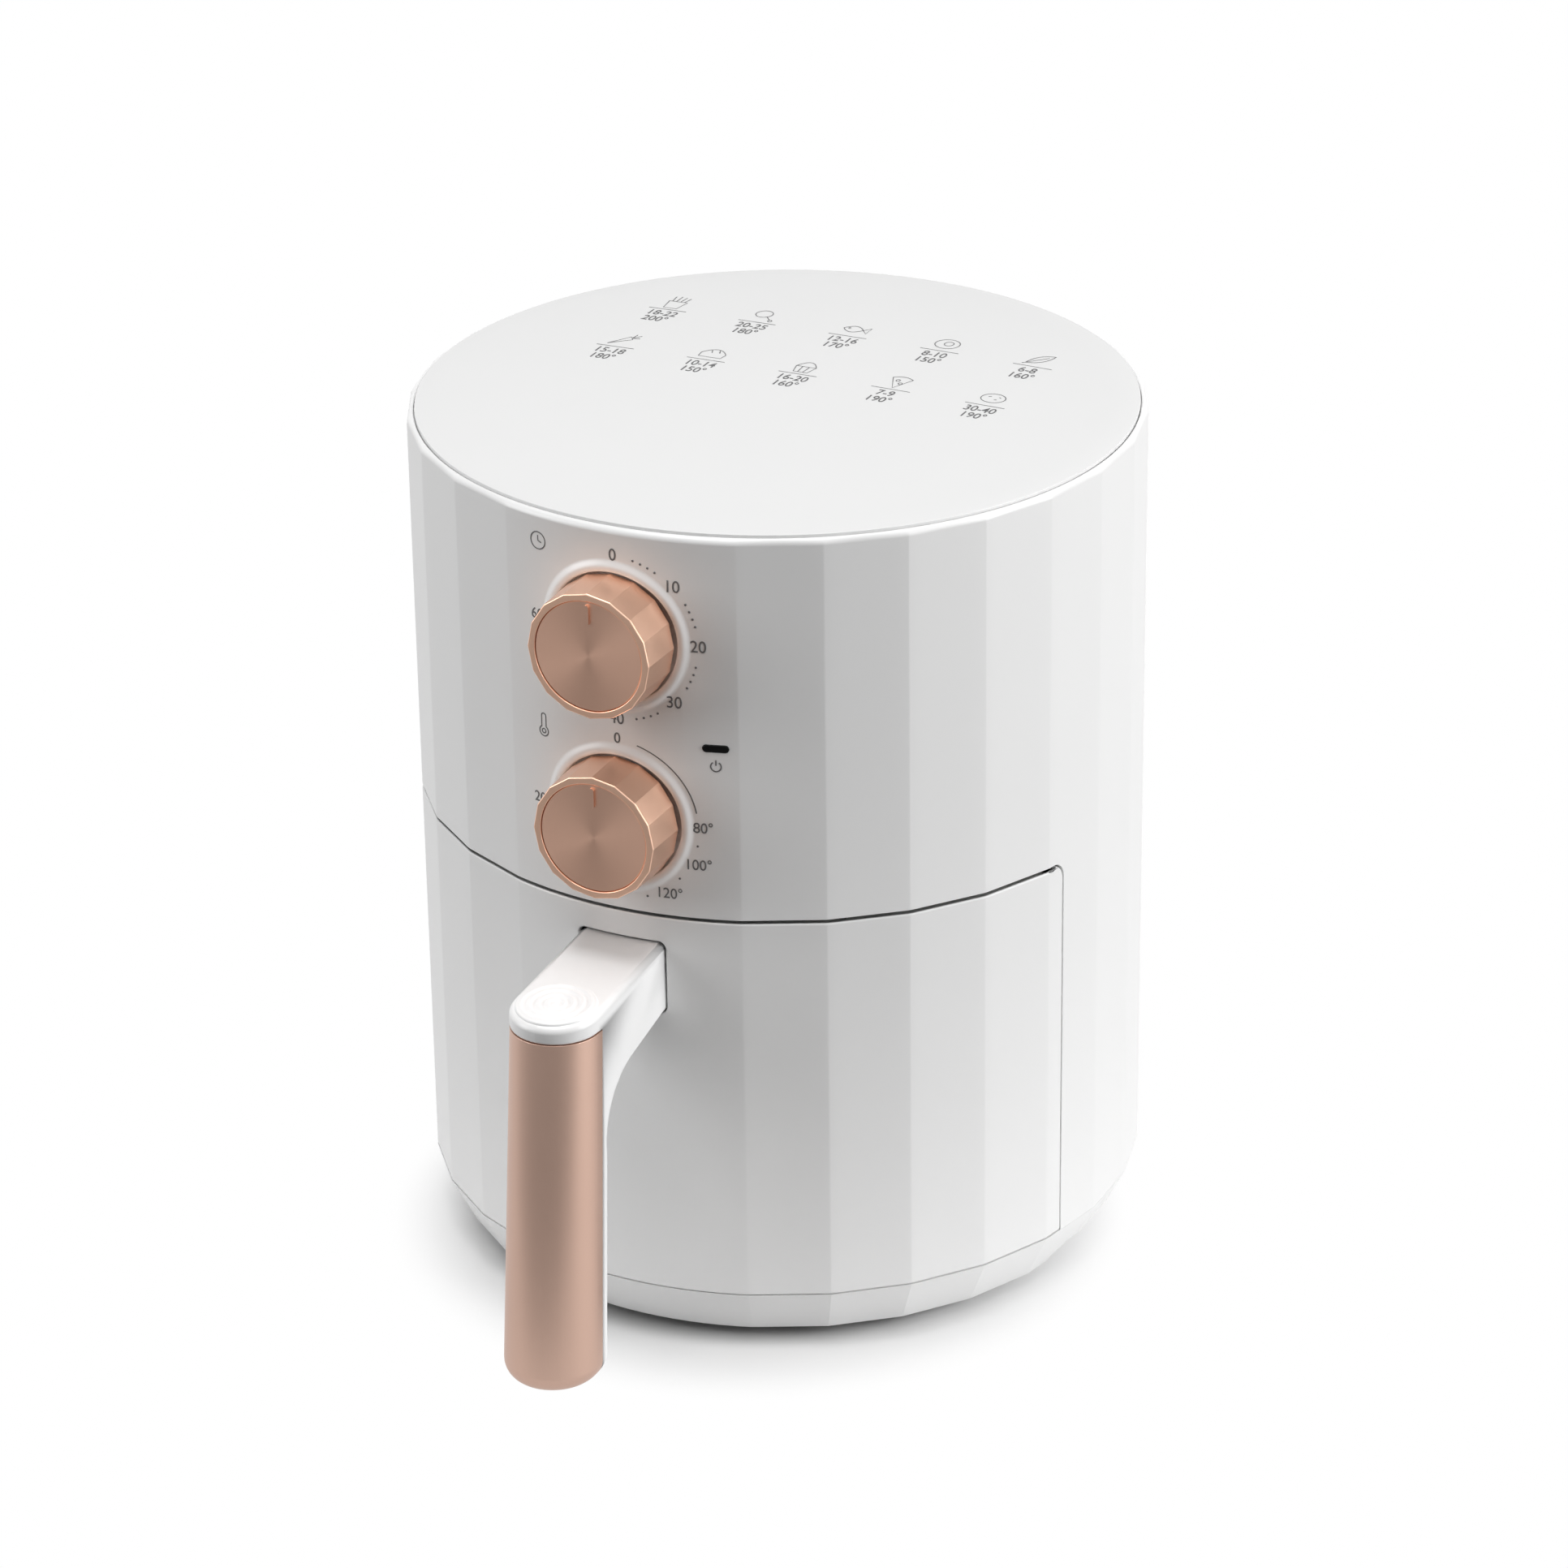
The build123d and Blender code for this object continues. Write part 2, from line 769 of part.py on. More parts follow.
# Chamber liner: the round back wall of the hot chamber, with the ledge that the pan slides on
with BuildPart() as chamber_liner:
    with BuildSketch(level(floor_high)):
        add(sector_face(liner_radius, floor_radius, 180 - liner_mouth_angle, 180))
    extrude(amount=shelf_low - floor_high)
    with BuildSketch(level(rail_high - rail_thickness)):
        add(sector_face(rail_radius, liner_radius, 180 - liner_mouth_angle, 180))
    extrude(amount=rail_thickness)
chamber_liner.part.label = "chamber_liner"
export_step(chamber_liner.part, "parts/chamber_liner.step")

# Heat shield: a deep-drawn steel can over the heater, with its outlet at the back
with BuildPart() as heat_shield:
    with BuildSketch(level(shelf_high)):
        Circle(shield_radius + shield_sheet)
    extrude(amount=shield_height)
    fillet(heat_shield.edges().group_by(Axis.Z)[-1], radius=shield_round)
    offset(amount=-shield_sheet, openings=heat_shield.faces().sort_by(Axis.Z)[0])
    with BuildSketch(level(shelf_high)):
        Circle(liner_radius)
        Circle(shield_radius, mode=Mode.SUBTRACT)
    extrude(amount=shield_sheet)
    with BuildSketch(facing(180, shield_radius, duct_middle)):
        Rectangle(duct_width - 2 * duct_wall, duct_height - 2 * duct_wall)
    extrude(amount=shield_round, both=True, mode=Mode.SUBTRACT)
    with BuildSketch(level(shield_high)):
        Circle(shield_hole_radius)
        with Locations(*element_tail_spots()):
            Circle(element_radius + moving_gap)
    extrude(amount=-shield_sheet, mode=Mode.SUBTRACT)
heat_shield.part.label = "heat_shield"
export_step(heat_shield.part, "parts/heat_shield.step")

# Heating element: one bent tube, out round the outer ring, back round the inner one, with both ends up
with BuildPart() as heating_element:
    with BuildLine(level(element_height)) as element_path:
        end_angle = element_start + element_sweep
        turn_radius = element_pitch / 2
        turn_reach = element_inner + turn_radius
        turn_spot = (turn_reach * cos(radians(end_angle)), turn_reach * sin(radians(end_angle)))
        ring_end, middle, foot, tip = element_end(element_outer)
        Line(tip, foot)
        ThreePointArc(foot, middle, ring_end)
        CenterArc((0, 0), element_outer, element_start, element_sweep)
        CenterArc(turn_spot, turn_radius, end_angle, 180)
        CenterArc((0, 0), element_inner, end_angle, -element_sweep)
        ring_end, middle, foot, tip = element_end(element_inner)
        ThreePointArc(ring_end, middle, foot)
        Line(foot, tip)
    element_wire = element_path.wires()[0]
    with BuildSketch(Plane(origin=element_wire @ 0, z_dir=element_wire % 0)):
        Circle(element_radius)
    sweep(path=element_wire)
heating_element.part.label = "heating_element"
export_step(heating_element.part, "parts/heating_element.step")

# Clips: angled strips that hang the element from the shield
with BuildPart() as element_clips:
    for turn in clip_turns:
        strip_low = element_height - element_radius - clip_sheet
        with BuildSketch(facing(turn, clip_inner, strip_low + clip_sheet / 2)):
            Rectangle(clip_width, clip_sheet)
        extrude(amount=clip_outer - clip_inner)
        leg_height = shield_high - shield_sheet - strip_low
        with BuildSketch(facing(turn, clip_outer, strip_low + leg_height / 2)):
            Rectangle(clip_width, leg_height)
        extrude(amount=clip_sheet)
element_clips.part.label = "element_clips"
export_step(element_clips.part, "parts/element_clips.step")

# Heater guard: rings and spokes below the element
with BuildPart() as heater_guard:
    with BuildSketch(level(shelf_high - guard_thickness)):
        add(ring_face(guard_radius, guard_radius - guard_band))
        for ring in range(guard_rings):
            ring_radius = guard_inner + ring * guard_ring_pitch
            add(ring_face(ring_radius, ring_radius - guard_rod))
        spoke_inner = guard_inner - guard_rod / 2
        spoke_length = guard_radius - guard_band / 2 - spoke_inner
        with PolarLocations(spoke_inner + spoke_length / 2, guard_spokes):
            Rectangle(spoke_length, guard_rod)
    extrude(amount=guard_thickness)
heater_guard.part.label = "heater_guard"
export_step(heater_guard.part, "parts/heater_guard.step")

# Spacers and the plate that carries the motor
with BuildPart() as motor_spacers:
    with BuildSketch(level(shield_high)):
        with PolarLocations(spacer_circle, spacer_count, start_angle=90):
            Circle(spacer_radius)
            Circle(spacer_bore, mode=Mode.SUBTRACT)
    extrude(amount=spacer_height)
motor_spacers.part.label = "motor_spacers"
export_step(motor_spacers.part, "parts/motor_spacers.step")

with BuildPart() as motor_plate:
    with BuildSketch(level(plate_level)):
        Circle(motor_plate_radius)
        Circle(shield_hole_radius, mode=Mode.SUBTRACT)
        with PolarLocations(spacer_circle, spacer_count, start_angle=90):
            Circle(spacer_bore, mode=Mode.SUBTRACT)
    extrude(amount=motor_plate_sheet)
motor_plate.part.label = "motor_plate"
export_step(motor_plate.part, "parts/motor_plate.step")

# Motor: laminated core with a bore and a window, its coil, and two bearing brackets
with BuildPart() as motor_core:
    with BuildSketch(level(core_low)):
        with Locations((0, (core_back - core_front) / 2)):
            Rectangle(core_width, core_back + core_front)
        Circle(core_bore, mode=Mode.SUBTRACT)
        with Locations((0, (core_window_back + core_window_front) / 2)):
            Rectangle(core_window_width, core_window_back - core_window_front, mode=Mode.SUBTRACT)
    extrude(amount=core_stack)
motor_core.part.label = "motor_core"
export_step(motor_core.part, "parts/motor_core.step")

with BuildPart() as motor_coil:
    leg_middle = (core_back + core_window_back) / 2
    leg_place = (0, axis_y + leg_middle, core_low + core_stack / 2)
    with BuildSketch(Plane(origin=leg_place, x_dir=(0, 1, 0), z_dir=(1, 0, 0))):
        RectangleRounded(core_leg + 2 * coil_wind, core_stack + 2 * coil_wind, coil_corner)
        Rectangle(core_leg, core_stack, mode=Mode.SUBTRACT)
    extrude(amount=core_window_width / 2 - seat_gap, both=True)
motor_coil.part.label = "motor_coil"
export_step(motor_coil.part, "parts/motor_coil.step")

with BuildPart() as motor_brackets:
    for plate_low_face, leg_low in (
        (plate_level + motor_plate_sheet, plate_level + motor_plate_sheet + bracket_sheet),
        (bracket_high - bracket_sheet, core_high),
    ):
        with BuildSketch(level(plate_low_face)):
            Rectangle(core_width, bracket_width)
            Circle(shaft_radius + shaft_clearance, mode=Mode.SUBTRACT)
        extrude(amount=bracket_sheet)
        with BuildSketch(level(leg_low)):
            with GridLocations(core_width - bracket_sheet, 0, 2, 1):
                Rectangle(bracket_sheet, bracket_width)
        extrude(amount=bracket_leg)
motor_brackets.part.label = "motor_brackets"
export_step(motor_brackets.part, "parts/motor_brackets.step")

# Rotor: shaft, laminated rotor, hot-air fan with its nut, and the cooling fan
with BuildPart() as motor_shaft:
    with BuildSketch(level(shaft_low)):
        Circle(shaft_radius)
    extrude(amount=shaft_high - shaft_low)
motor_shaft.part.label = "motor_shaft"
export_step(motor_shaft.part, "parts/motor_shaft.step")

with BuildPart() as motor_rotor:
    with BuildSketch(level(core_low - rotor_overhang)):
        Circle(core_bore - rotor_gap)
        Circle(shaft_radius, mode=Mode.SUBTRACT)
    extrude(amount=core_stack + 2 * rotor_overhang)
motor_rotor.part.label = "motor_rotor"
export_step(motor_rotor.part, "parts/motor_rotor.step")

with BuildPart() as hot_air_fan:
    with BuildSketch(level(hot_fan_level)):
        Circle(hot_fan_radius)
    extrude(amount=hot_fan_sheet)
    with BuildSketch(level(hot_fan_level)):
        blade_length = hot_fan_radius - hot_fan_blade_inner
        with PolarLocations(hot_fan_blade_inner + blade_length / 2, hot_fan_blades):
            Rectangle(blade_length, hot_fan_sheet)
        Circle(hot_fan_hub_radius)
    extrude(amount=-hot_fan_hub_height)
    with BuildSketch(level(hot_fan_low)):
        with PolarLocations(hot_fan_blade_inner + blade_length / 2, hot_fan_blades):
            Rectangle(blade_length, hot_fan_sheet)
    extrude(amount=hot_fan_hub_height - hot_fan_blade_height)
    with BuildSketch(level(hot_fan_level + hot_fan_sheet)):
        Circle(shaft_radius)
    extrude(amount=-hot_fan_sheet - hot_fan_hub_height, mode=Mode.SUBTRACT)
hot_air_fan.part.label = "hot_air_fan"
export_step(hot_air_fan.part, "parts/hot_air_fan.step")

with BuildPart() as fan_nut:
    with BuildSketch(level(hot_fan_low)):
        RegularPolygon(fan_nut_across / 2, 6, major_radius=False)
        Circle(shaft_radius, mode=Mode.SUBTRACT)
    extrude(amount=-fan_nut_height)
fan_nut.part.label = "fan_nut"
export_step(fan_nut.part, "parts/fan_nut.step")

with BuildPart() as cooling_fan:
    with BuildSketch(level(cool_fan_low)):
        Circle(cool_fan_hub_radius)
    extrude(amount=cool_fan_hub_height)
    for blade in range(cool_fan_blades):
        turn = radians(blade * 360 / cool_fan_blades)
        lean = radians(cool_fan_pitch)
        radial = Vector(sin(turn), -cos(turn), 0)
        normal = Vector(-cos(turn) * sin(lean), -sin(turn) * sin(lean), cos(lean))
        middle = Vector(0, axis_y, cool_fan_low + cool_fan_hub_height / 2)
        blade_span = cool_fan_radius - cool_fan_hub_radius / 2
        place = middle + radial * (cool_fan_hub_radius / 2 + blade_span / 2)
        with BuildSketch(Plane(origin=place, x_dir=radial, z_dir=normal)):
            RectangleRounded(blade_span, cool_fan_chord, cool_fan_chord / 4)
        extrude(amount=cool_fan_blade / 2, both=True)
    with BuildSketch(level(cool_fan_low - cool_fan_chord)):
        Circle(shaft_radius)
    extrude(amount=cool_fan_hub_height + 2 * cool_fan_chord, mode=Mode.SUBTRACT)
cooling_fan.part.label = "cooling_fan"
export_step(cooling_fan.part, "parts/cooling_fan.step")

# Rear outlet: a faceted louvre panel let into the shell, and the duct from the heat shield
with BuildPart() as rear_grille:
    add(facet_shell(grille_low + seam_gap, grille_high - seam_gap))
    add(
        sector_block(
            liner_radius,
            body_radius + wall,
            grille_half_angle - degrees(seam_gap / body_radius),
            grille_low,
            grille_high,
            180,
        ),
        mode=Mode.INTERSECT,
    )
    for index in range(grille_facets):
        turn = 180 + (index - (grille_facets - 1) / 2) * facet_angle
        row_pitch = (grille_high - grille_low) / (grille_rows + 1)
        with BuildSketch(facing(turn, facet_reach, (grille_low + grille_high) / 2)):
            with GridLocations(0, row_pitch, 1, grille_rows):
                Rectangle(grille_slot_width, grille_slot_height)
        extrude(amount=2 * wall, both=True, mode=Mode.SUBTRACT)
rear_grille.part.label = "rear_grille"
export_step(rear_grille.part, "parts/rear_grille.step")

with BuildPart() as exhaust_duct:
    with BuildSketch(facing(180, 0, duct_middle)):
        Rectangle(duct_width, duct_height)
        Rectangle(duct_width - 2 * duct_wall, duct_height - 2 * duct_wall, mode=Mode.SUBTRACT)
    extrude(amount=body_radius)
    with BuildSketch(level(duct_middle - duct_height)):
        Circle(shield_radius + shield_sheet + seat_gap)
    extrude(amount=2 * duct_height, mode=Mode.SUBTRACT)
    with BuildSketch(level(duct_middle - duct_height)):
        add(facet_face(body_radius - wall - seat_gap))
    extrude(amount=2 * duct_height, mode=Mode.INTERSECT)
exhaust_duct.part.label = "exhaust_duct"
export_step(exhaust_duct.part, "parts/exhaust_duct.step")

# Cord gland and the terminal block behind it
with BuildPart() as cord_gland:
    with BuildSketch(facing(180, facet_reach, gland_height)):
        Circle(gland_flange_radius)
    extrude(amount=gland_flange)
    fillet(cord_gland.faces().sort_by(Axis.Y)[-1].edges(), radius=gland_flange / 2)
    with BuildSketch(facing(180, facet_reach, gland_height)):
        Circle(gland_radius)
    extrude(amount=-gland_length)
    with BuildSketch(facing(180, facet_reach + gland_flange, gland_height)):
        Circle(gland_bore)
    extrude(amount=-gland_flange - gland_length, mode=Mode.SUBTRACT)
cord_gland.part.label = "cord_gland"
export_step(cord_gland.part, "parts/cord_gland.step")

with BuildPart() as terminal_block:
    with BuildSketch(facing(180, inner_facet_reach, gland_height + terminal_lift)):
        Rectangle(terminal_length, terminal_height)
    extrude(amount=-terminal_depth)
terminal_block.part.label = "terminal_block"
export_step(terminal_block.part, "parts/terminal_block.step")

# Thermal fuse on the heat shield
with BuildPart() as thermal_fuse:
    with BuildSketch(facing(fuse_turn, fuse_reach, shield_high + fuse_radius)):
        Circle(fuse_radius)
    extrude(amount=fuse_length / 2, both=True)
thermal_fuse.part.label = "thermal_fuse"
export_step(thermal_fuse.part, "parts/thermal_fuse.step")

# Drawer switch above the shelf, with the plunger that the closed drawer holds up
with BuildPart() as microswitch:
    with BuildSketch(facing_down(switch_turn, switch_reach, shelf_high)):
        Rectangle(switch_length, switch_depth)
        Circle(plunger_radius + shaft_clearance, mode=Mode.SUBTRACT)
    extrude(amount=-switch_height)
microswitch.part.label = "microswitch"
export_step(microswitch.part, "parts/microswitch.step")

with BuildPart() as interlock_plunger:
    with BuildSketch(facing_down(switch_turn, switch_reach, plunger_low)):
        Circle(plunger_radius)
    extrude(amount=-(shelf_high + plunger_stem - plunger_low))
interlock_plunger.part.label = "interlock_plunger"
export_step(interlock_plunger.part, "parts/interlock_plunger.step")

# Timer and thermostat behind the dial wells
with BuildPart() as timer_mechanism:
    with BuildSketch(facing(0, control_reach, timer_height)):
        RectangleRounded(timer_width, timer_width, timer_corner)
    extrude(amount=-timer_depth)
    with BuildSketch(facing(0, control_reach, timer_height)):
        Circle(dial_shaft_radius + shaft_clearance)
    extrude(amount=-dial_shaft_grip, mode=Mode.SUBTRACT)
    for place in control_screw_places(timer_height):
        with BuildSketch(place):
            Circle(screw_radius)
        extrude(amount=-control_screw_length, mode=Mode.SUBTRACT)
timer_mechanism.part.label = "timer_mechanism"
export_step(timer_mechanism.part, "parts/timer_mechanism.step")

with BuildPart() as thermostat:
    with BuildSketch(facing(0, control_reach, thermostat_height)):
        Circle(thermostat_radius)
    extrude(amount=-thermostat_depth)
    with BuildSketch(facing(0, control_reach, thermostat_height)):
        Circle(dial_shaft_radius + shaft_clearance)
    extrude(amount=-dial_shaft_grip, mode=Mode.SUBTRACT)
    for place in control_screw_places(thermostat_height):
        with BuildSketch(place):
            Circle(screw_radius)
        extrude(amount=-control_screw_length, mode=Mode.SUBTRACT)
thermostat.part.label = "thermostat"
export_step(thermostat.part, "parts/thermostat.step")

with BuildPart() as control_screws:
    for height in dial_heights:
        for place in control_screw_places(height):
            add(screw(place, control_screw_length))
control_screws.part.label = "control_screws"
export_step(control_screws.part, "parts/control_screws.step")

# Knobs: a faceted cup on a hub, a brushed face let into its rim, and the shaft that it turns
for dial, height in (("timer", timer_height), ("temperature", thermostat_height)):
    with BuildPart() as knob:
        with BuildSketch(facing(0, knob_back_reach, height)):
            RegularPolygon(knob_base_radius, knob_sides)
        with BuildSketch(facing(0, knob_face_reach, height)):
            RegularPolygon(knob_face_radius, knob_sides)
        loft(ruled=True)
        with BuildSketch(facing(0, knob_face_reach, height)):
            Circle(cap_radius)
        extrude(amount=cap_back_reach - knob_face_reach, mode=Mode.SUBTRACT)
        with BuildSketch(facing(0, knob_back_reach, height)):
            Circle(cap_radius - cap_ledge)
            Circle(knob_hub_radius, mode=Mode.SUBTRACT)
        extrude(amount=web_reach - knob_back_reach, mode=Mode.SUBTRACT)
        with BuildSketch(facing(0, knob_back_reach, height)):
            Circle(dial_shaft_radius)
        extrude(amount=web_reach - knob_back_reach, mode=Mode.SUBTRACT)
    knob.part.label = dial + "_knob"
    export_step(knob.part, "parts/" + dial + "_knob.step")

    with BuildPart() as knob_cap:
        with BuildSketch(facing(0, cap_back_reach, height)):
            Circle(cap_radius - seat_gap)
        extrude(amount=cap_thickness)
        with BuildSketch(facing(0, knob_face_reach - cap_sink, height)):
            with Locations((0, pointer_reach)):
                SlotOverall(pointer_length, pointer_width, rotation=90)
        extrude(amount=pointer_height)
    knob_cap.part.label = dial + "_knob_cap"
    export_step(knob_cap.part, "parts/" + dial + "_knob_cap.step")

    with BuildPart() as dial_shaft:
        with BuildSketch(facing(0, control_reach - dial_shaft_grip + moving_gap, height)):
            Circle(dial_shaft_radius)
        extrude(amount=web_reach - control_reach + dial_shaft_grip - moving_gap)
    dial_shaft.part.label = dial + "_shaft"
    export_step(dial_shaft.part, "parts/" + dial + "_shaft.step")

# Indicator window and the lamp behind it
with BuildPart() as indicator_lens:
    with BuildSketch(facing(indicator_turn, body_radius + indicator_proud, indicator_height)):
        SlotOverall(indicator_length - 2 * seat_gap, indicator_width - 2 * seat_gap)
    extrude(amount=-wall - indicator_proud)
indicator_lens.part.label = "indicator_lens"
export_step(indicator_lens.part, "parts/indicator_lens.step")

with BuildPart() as indicator_lamp:
    with BuildSketch(facing(indicator_turn, body_radius - wall - seat_gap, indicator_height)):
        Rectangle(indicator_length + 2 * lamp_margin, indicator_width + 2 * lamp_margin)
    extrude(amount=-lamp_depth)
    with BuildSketch(level(indicator_height - lamp_depth)):
        Circle(body_radius - wall - seat_gap)
    extrude(amount=2 * lamp_depth, mode=Mode.INTERSECT)
indicator_lamp.part.label = "indicator_lamp"
export_step(indicator_lamp.part, "parts/indicator_lamp.step")

# Drawer front: the faceted outer panel, cut for the root of the handle
with BuildPart() as drawer_front:
    add(facet_shell(door_low + seam_gap, door_high - seam_gap))
    add(
        door_block(door_angle, door_low + seam_gap, door_high - seam_gap, door_corner - seam_gap),
        mode=Mode.INTERSECT,
    )
    with BuildSketch(facing(0, door_back_radius, (arm_shell_top + arm_root_bottom) / 2)):
        hole_height = arm_shell_top - arm_root_bottom + 2 * handle_gap
        RectangleRounded(2 * (handle_half_width + handle_gap), hole_height, arm_round)
    extrude(amount=body_radius - door_back_radius + wall, mode=Mode.SUBTRACT)
drawer_front.part.label = "drawer_front"
export_step(drawer_front.part, "parts/drawer_front.step")

# Drawer back: the shallow tray that closes the front panel from behind
with BuildPart() as drawer_back:
    back_angle = door_angle - door_back_inset_angle
    with BuildSketch(level(door_back_low)):
        add(sector_face(door_back_radius, body_radius, back_angle))
        add(facet_face(body_radius - wall - seat_gap), mode=Mode.INTERSECT)
    extrude(amount=door_back_high - door_back_low)
    pocket_low = door_back_low + door_back_wall
    with BuildSketch(level(pocket_low)):
        pocket_angle = back_angle - degrees(door_back_wall / door_back_radius)
        add(sector_face(door_back_radius + door_back_wall, body_radius, pocket_angle))
    extrude(amount=door_back_high - door_back_wall - pocket_low, mode=Mode.SUBTRACT)
    for place in handle_screw_places():
        with BuildSketch(place):
            Circle(screw_radius + seat_gap)
        extrude(amount=-door_back_wall - pan_bracket_sheet - seam_gap, mode=Mode.SUBTRACT)
drawer_back.part.label = "drawer_back"
export_step(drawer_back.part, "parts/drawer_back.step")

# Pan: a tapered round tub with a flange that slides on the chamber ledge
with BuildPart() as pan:
    with BuildSketch(side_plane()):
        with BuildLine():
            outer_low = (pan_low_radius, pan_low)
            outer_high = (pan_top_radius, pan_high)
            FilletPolyline((0, pan_low), outer_low, outer_high, radius=pan_corner)
            Line(outer_high, (0, pan_high))
            Line((0, pan_high), (0, pan_low))
        make_face()
    revolve(axis=body_axis)
    with BuildSketch(level(pan_high - pan_sheet)):
        with Locations((0, -door_back_radius / 2)):
            Rectangle(2 * pan_flange_radius, door_back_radius)
        Circle(leaf_outer, mode=Mode.INTERSECT)
        Circle(pan_flange_radius)
    extrude(amount=pan_sheet)
    with BuildSketch(side_plane()):
        with BuildLine():
            inner_low = (pan_low_radius - pan_sheet, pan_inside)
            inner_high = (pan_top_radius - pan_sheet, pan_high)
            FilletPolyline((0, pan_inside), inner_low, inner_high, radius=pan_corner - pan_sheet)
            Line(inner_high, (0, pan_high))
            Line((0, pan_high), (0, pan_inside))
        make_face()
    revolve(axis=body_axis, mode=Mode.SUBTRACT)
    with BuildSketch(level(pan_high)):
        with Locations(*rivet_spots()):
            Circle(screw_radius)
    extrude(amount=-pan_sheet, mode=Mode.SUBTRACT)
pan.part.label = "pan"
export_step(pan.part, "parts/pan.step")

# Bracket that hangs the pan from the drawer front, with its rivets
with BuildPart() as pan_bracket:
    with BuildSketch(level(leaf_high)):
        add(sector_face(pan_bracket_inner, leaf_outer, pan_bracket_half_angle))
        with Locations(*rivet_spots()):
            Circle(screw_radius, mode=Mode.SUBTRACT)
    extrude(amount=-pan_bracket_sheet)
    with BuildSketch(level(leaf_high)):
        add(sector_face(leaf_outer - pan_bracket_sheet, leaf_outer, pan_bracket_half_angle))
    extrude(amount=-pan_bracket_drop)
    for place in handle_screw_places():
        with BuildSketch(place):
            Circle(screw_radius + seat_gap)
        extrude(amount=2 * pan_bracket_sheet, both=True, mode=Mode.SUBTRACT)
pan_bracket.part.label = "pan_bracket"
export_step(pan_bracket.part, "parts/pan_bracket.step")

with BuildPart() as pan_rivets:
    for spot in rivet_spots():
        head = Plane(origin=(spot[0], axis_y + spot[1], pan_high))
        add(screw(head, pan_sheet + pan_bracket_sheet))
pan_rivets.part.label = "pan_rivets"
export_step(pan_rivets.part, "parts/pan_rivets.step")

with BuildPart() as handle_screws:
    for place in handle_screw_places():
        add(screw(place, handle_screw_length))
handle_screws.part.label = "handle_screws"
export_step(handle_screws.part, "parts/handle_screws.step")

# Handle body: the arm with its rounded end and thumb pad, the back strip and the core of the grip
with BuildPart() as handle_body:
    with BuildSketch(side_plane()):
        with BuildLine():
            tenon = Line((arm_root_reach, arm_root_bottom), (body_radius, arm_root_bottom))
            under = Line(tenon @ 1, (arm_bend_reach, arm_bend_height))
            TangentArc(under @ 1, (arm_under_reach, arm_under_height), tangent=under % 1)
            Polyline(
                (arm_under_reach, arm_under_height),
                (arm_under_reach + grip_strip - seat_gap, arm_under_height),
                (grip_top_back + grip_strip - seat_gap, grip_top),
                (arm_front_reach, grip_top),
                (arm_front_reach, arm_top - arm_fall),
                (arm_root_reach, arm_root_top),
                (arm_root_reach, arm_root_bottom),
            )
        make_face()
    extrude(amount=handle_half_width, both=True)
    under_faces = handle_body.faces().filter_by(lambda face: face.normal_at().Z < 0).sort_by(Axis.Y)[2:]
    fillet(under_faces.edges().filter_by(Axis.X, reverse=True), radius=arm_round)
    with BuildSketch(level(arm_under_height)):
        with Locations((0, -pad_reach)):
            Circle(handle_half_width)
        with Locations((0, -(pad_reach + arm_root_reach) / 2)):
            Rectangle(2 * handle_half_width, pad_reach - arm_root_reach)
    extrude(amount=arm_root_top - arm_under_height, mode=Mode.INTERSECT)
    top_edges = handle_body.faces().sort_by(Axis.Z)[-1].edges().sort_by(Axis.Y)
    fillet(top_edges[:-1], radius=arm_round)
    pad_plane = Plane(origin=(0, axis_y - pad_reach, pad_height), x_dir=(1, 0, 0), z_dir=(0, -arm_slope, 1))
    with BuildSketch(pad_plane):
        Circle(pad_radius)
        Circle(pad_radius - pad_groove, mode=Mode.SUBTRACT)
    extrude(amount=-pad_sink, mode=Mode.SUBTRACT)
    add(strip_block())
    add(grip_block(core_inset, grip_bottom + core_inset, grip_top, grip_end_round - grip_wall))
    for place in handle_screw_places():
        with BuildSketch(place):
            Circle(screw_radius)
        extrude(amount=-handle_screw_length, mode=Mode.SUBTRACT)
handle_body.part.label = "handle_body"
export_step(handle_body.part, "parts/handle_body.step")

# Grip cover: the half-round metal-look shell over the front of the handle
with BuildPart() as grip_cover:
    add(grip_block(0, grip_bottom, grip_top - seat_gap, grip_end_round))
    add(
        grip_block(grip_wall, grip_bottom + grip_wall, grip_top, grip_end_round - grip_wall),
        mode=Mode.SUBTRACT,
    )
grip_cover.part.label = "grip_cover"
export_step(grip_cover.part, "parts/grip_cover.step")

# Crisper plate on four legs, with its silicone bumpers
with BuildPart() as crisper_plate:
    with BuildSketch(level(plate_low)):
        Circle(plate_radius)
        Circle(plate_grip_hole, mode=Mode.SUBTRACT)
        for ring in range(plate_rings):
            with PolarLocations(plate_ring_first + ring * plate_ring_pitch, (ring + 1) * plate_ring_holes):
                Circle(plate_hole_radius, mode=Mode.SUBTRACT)
    extrude(amount=plate_sheet)
    with BuildSketch(level(pan_inside)):
        with PolarLocations(plate_leg_circle, 4, start_angle=plate_leg_turn):
            Circle(plate_leg_radius)
    extrude(amount=plate_leg)
crisper_plate.part.label = "crisper_plate"
export_step(crisper_plate.part, "parts/crisper_plate.step")

with BuildPart() as plate_bumpers:
    with BuildSketch(level(plate_low - bumper_wall)):
        for bumper in range(bumper_count):
            turn = bumper * 360 / bumper_count
            add(sector_face(plate_radius - bumper_overlap, bumper_reach, bumper_half_angle, turn))
    extrude(amount=plate_sheet + 2 * bumper_wall)
    with BuildSketch(level(plate_low)):
        Circle(plate_radius)
    extrude(amount=plate_sheet, mode=Mode.SUBTRACT)
plate_bumpers.part.label = "plate_bumpers"
export_step(plate_bumpers.part, "parts/plate_bumpers.step")
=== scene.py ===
from math import atan2, cos, hypot, pi, radians, sin, sqrt

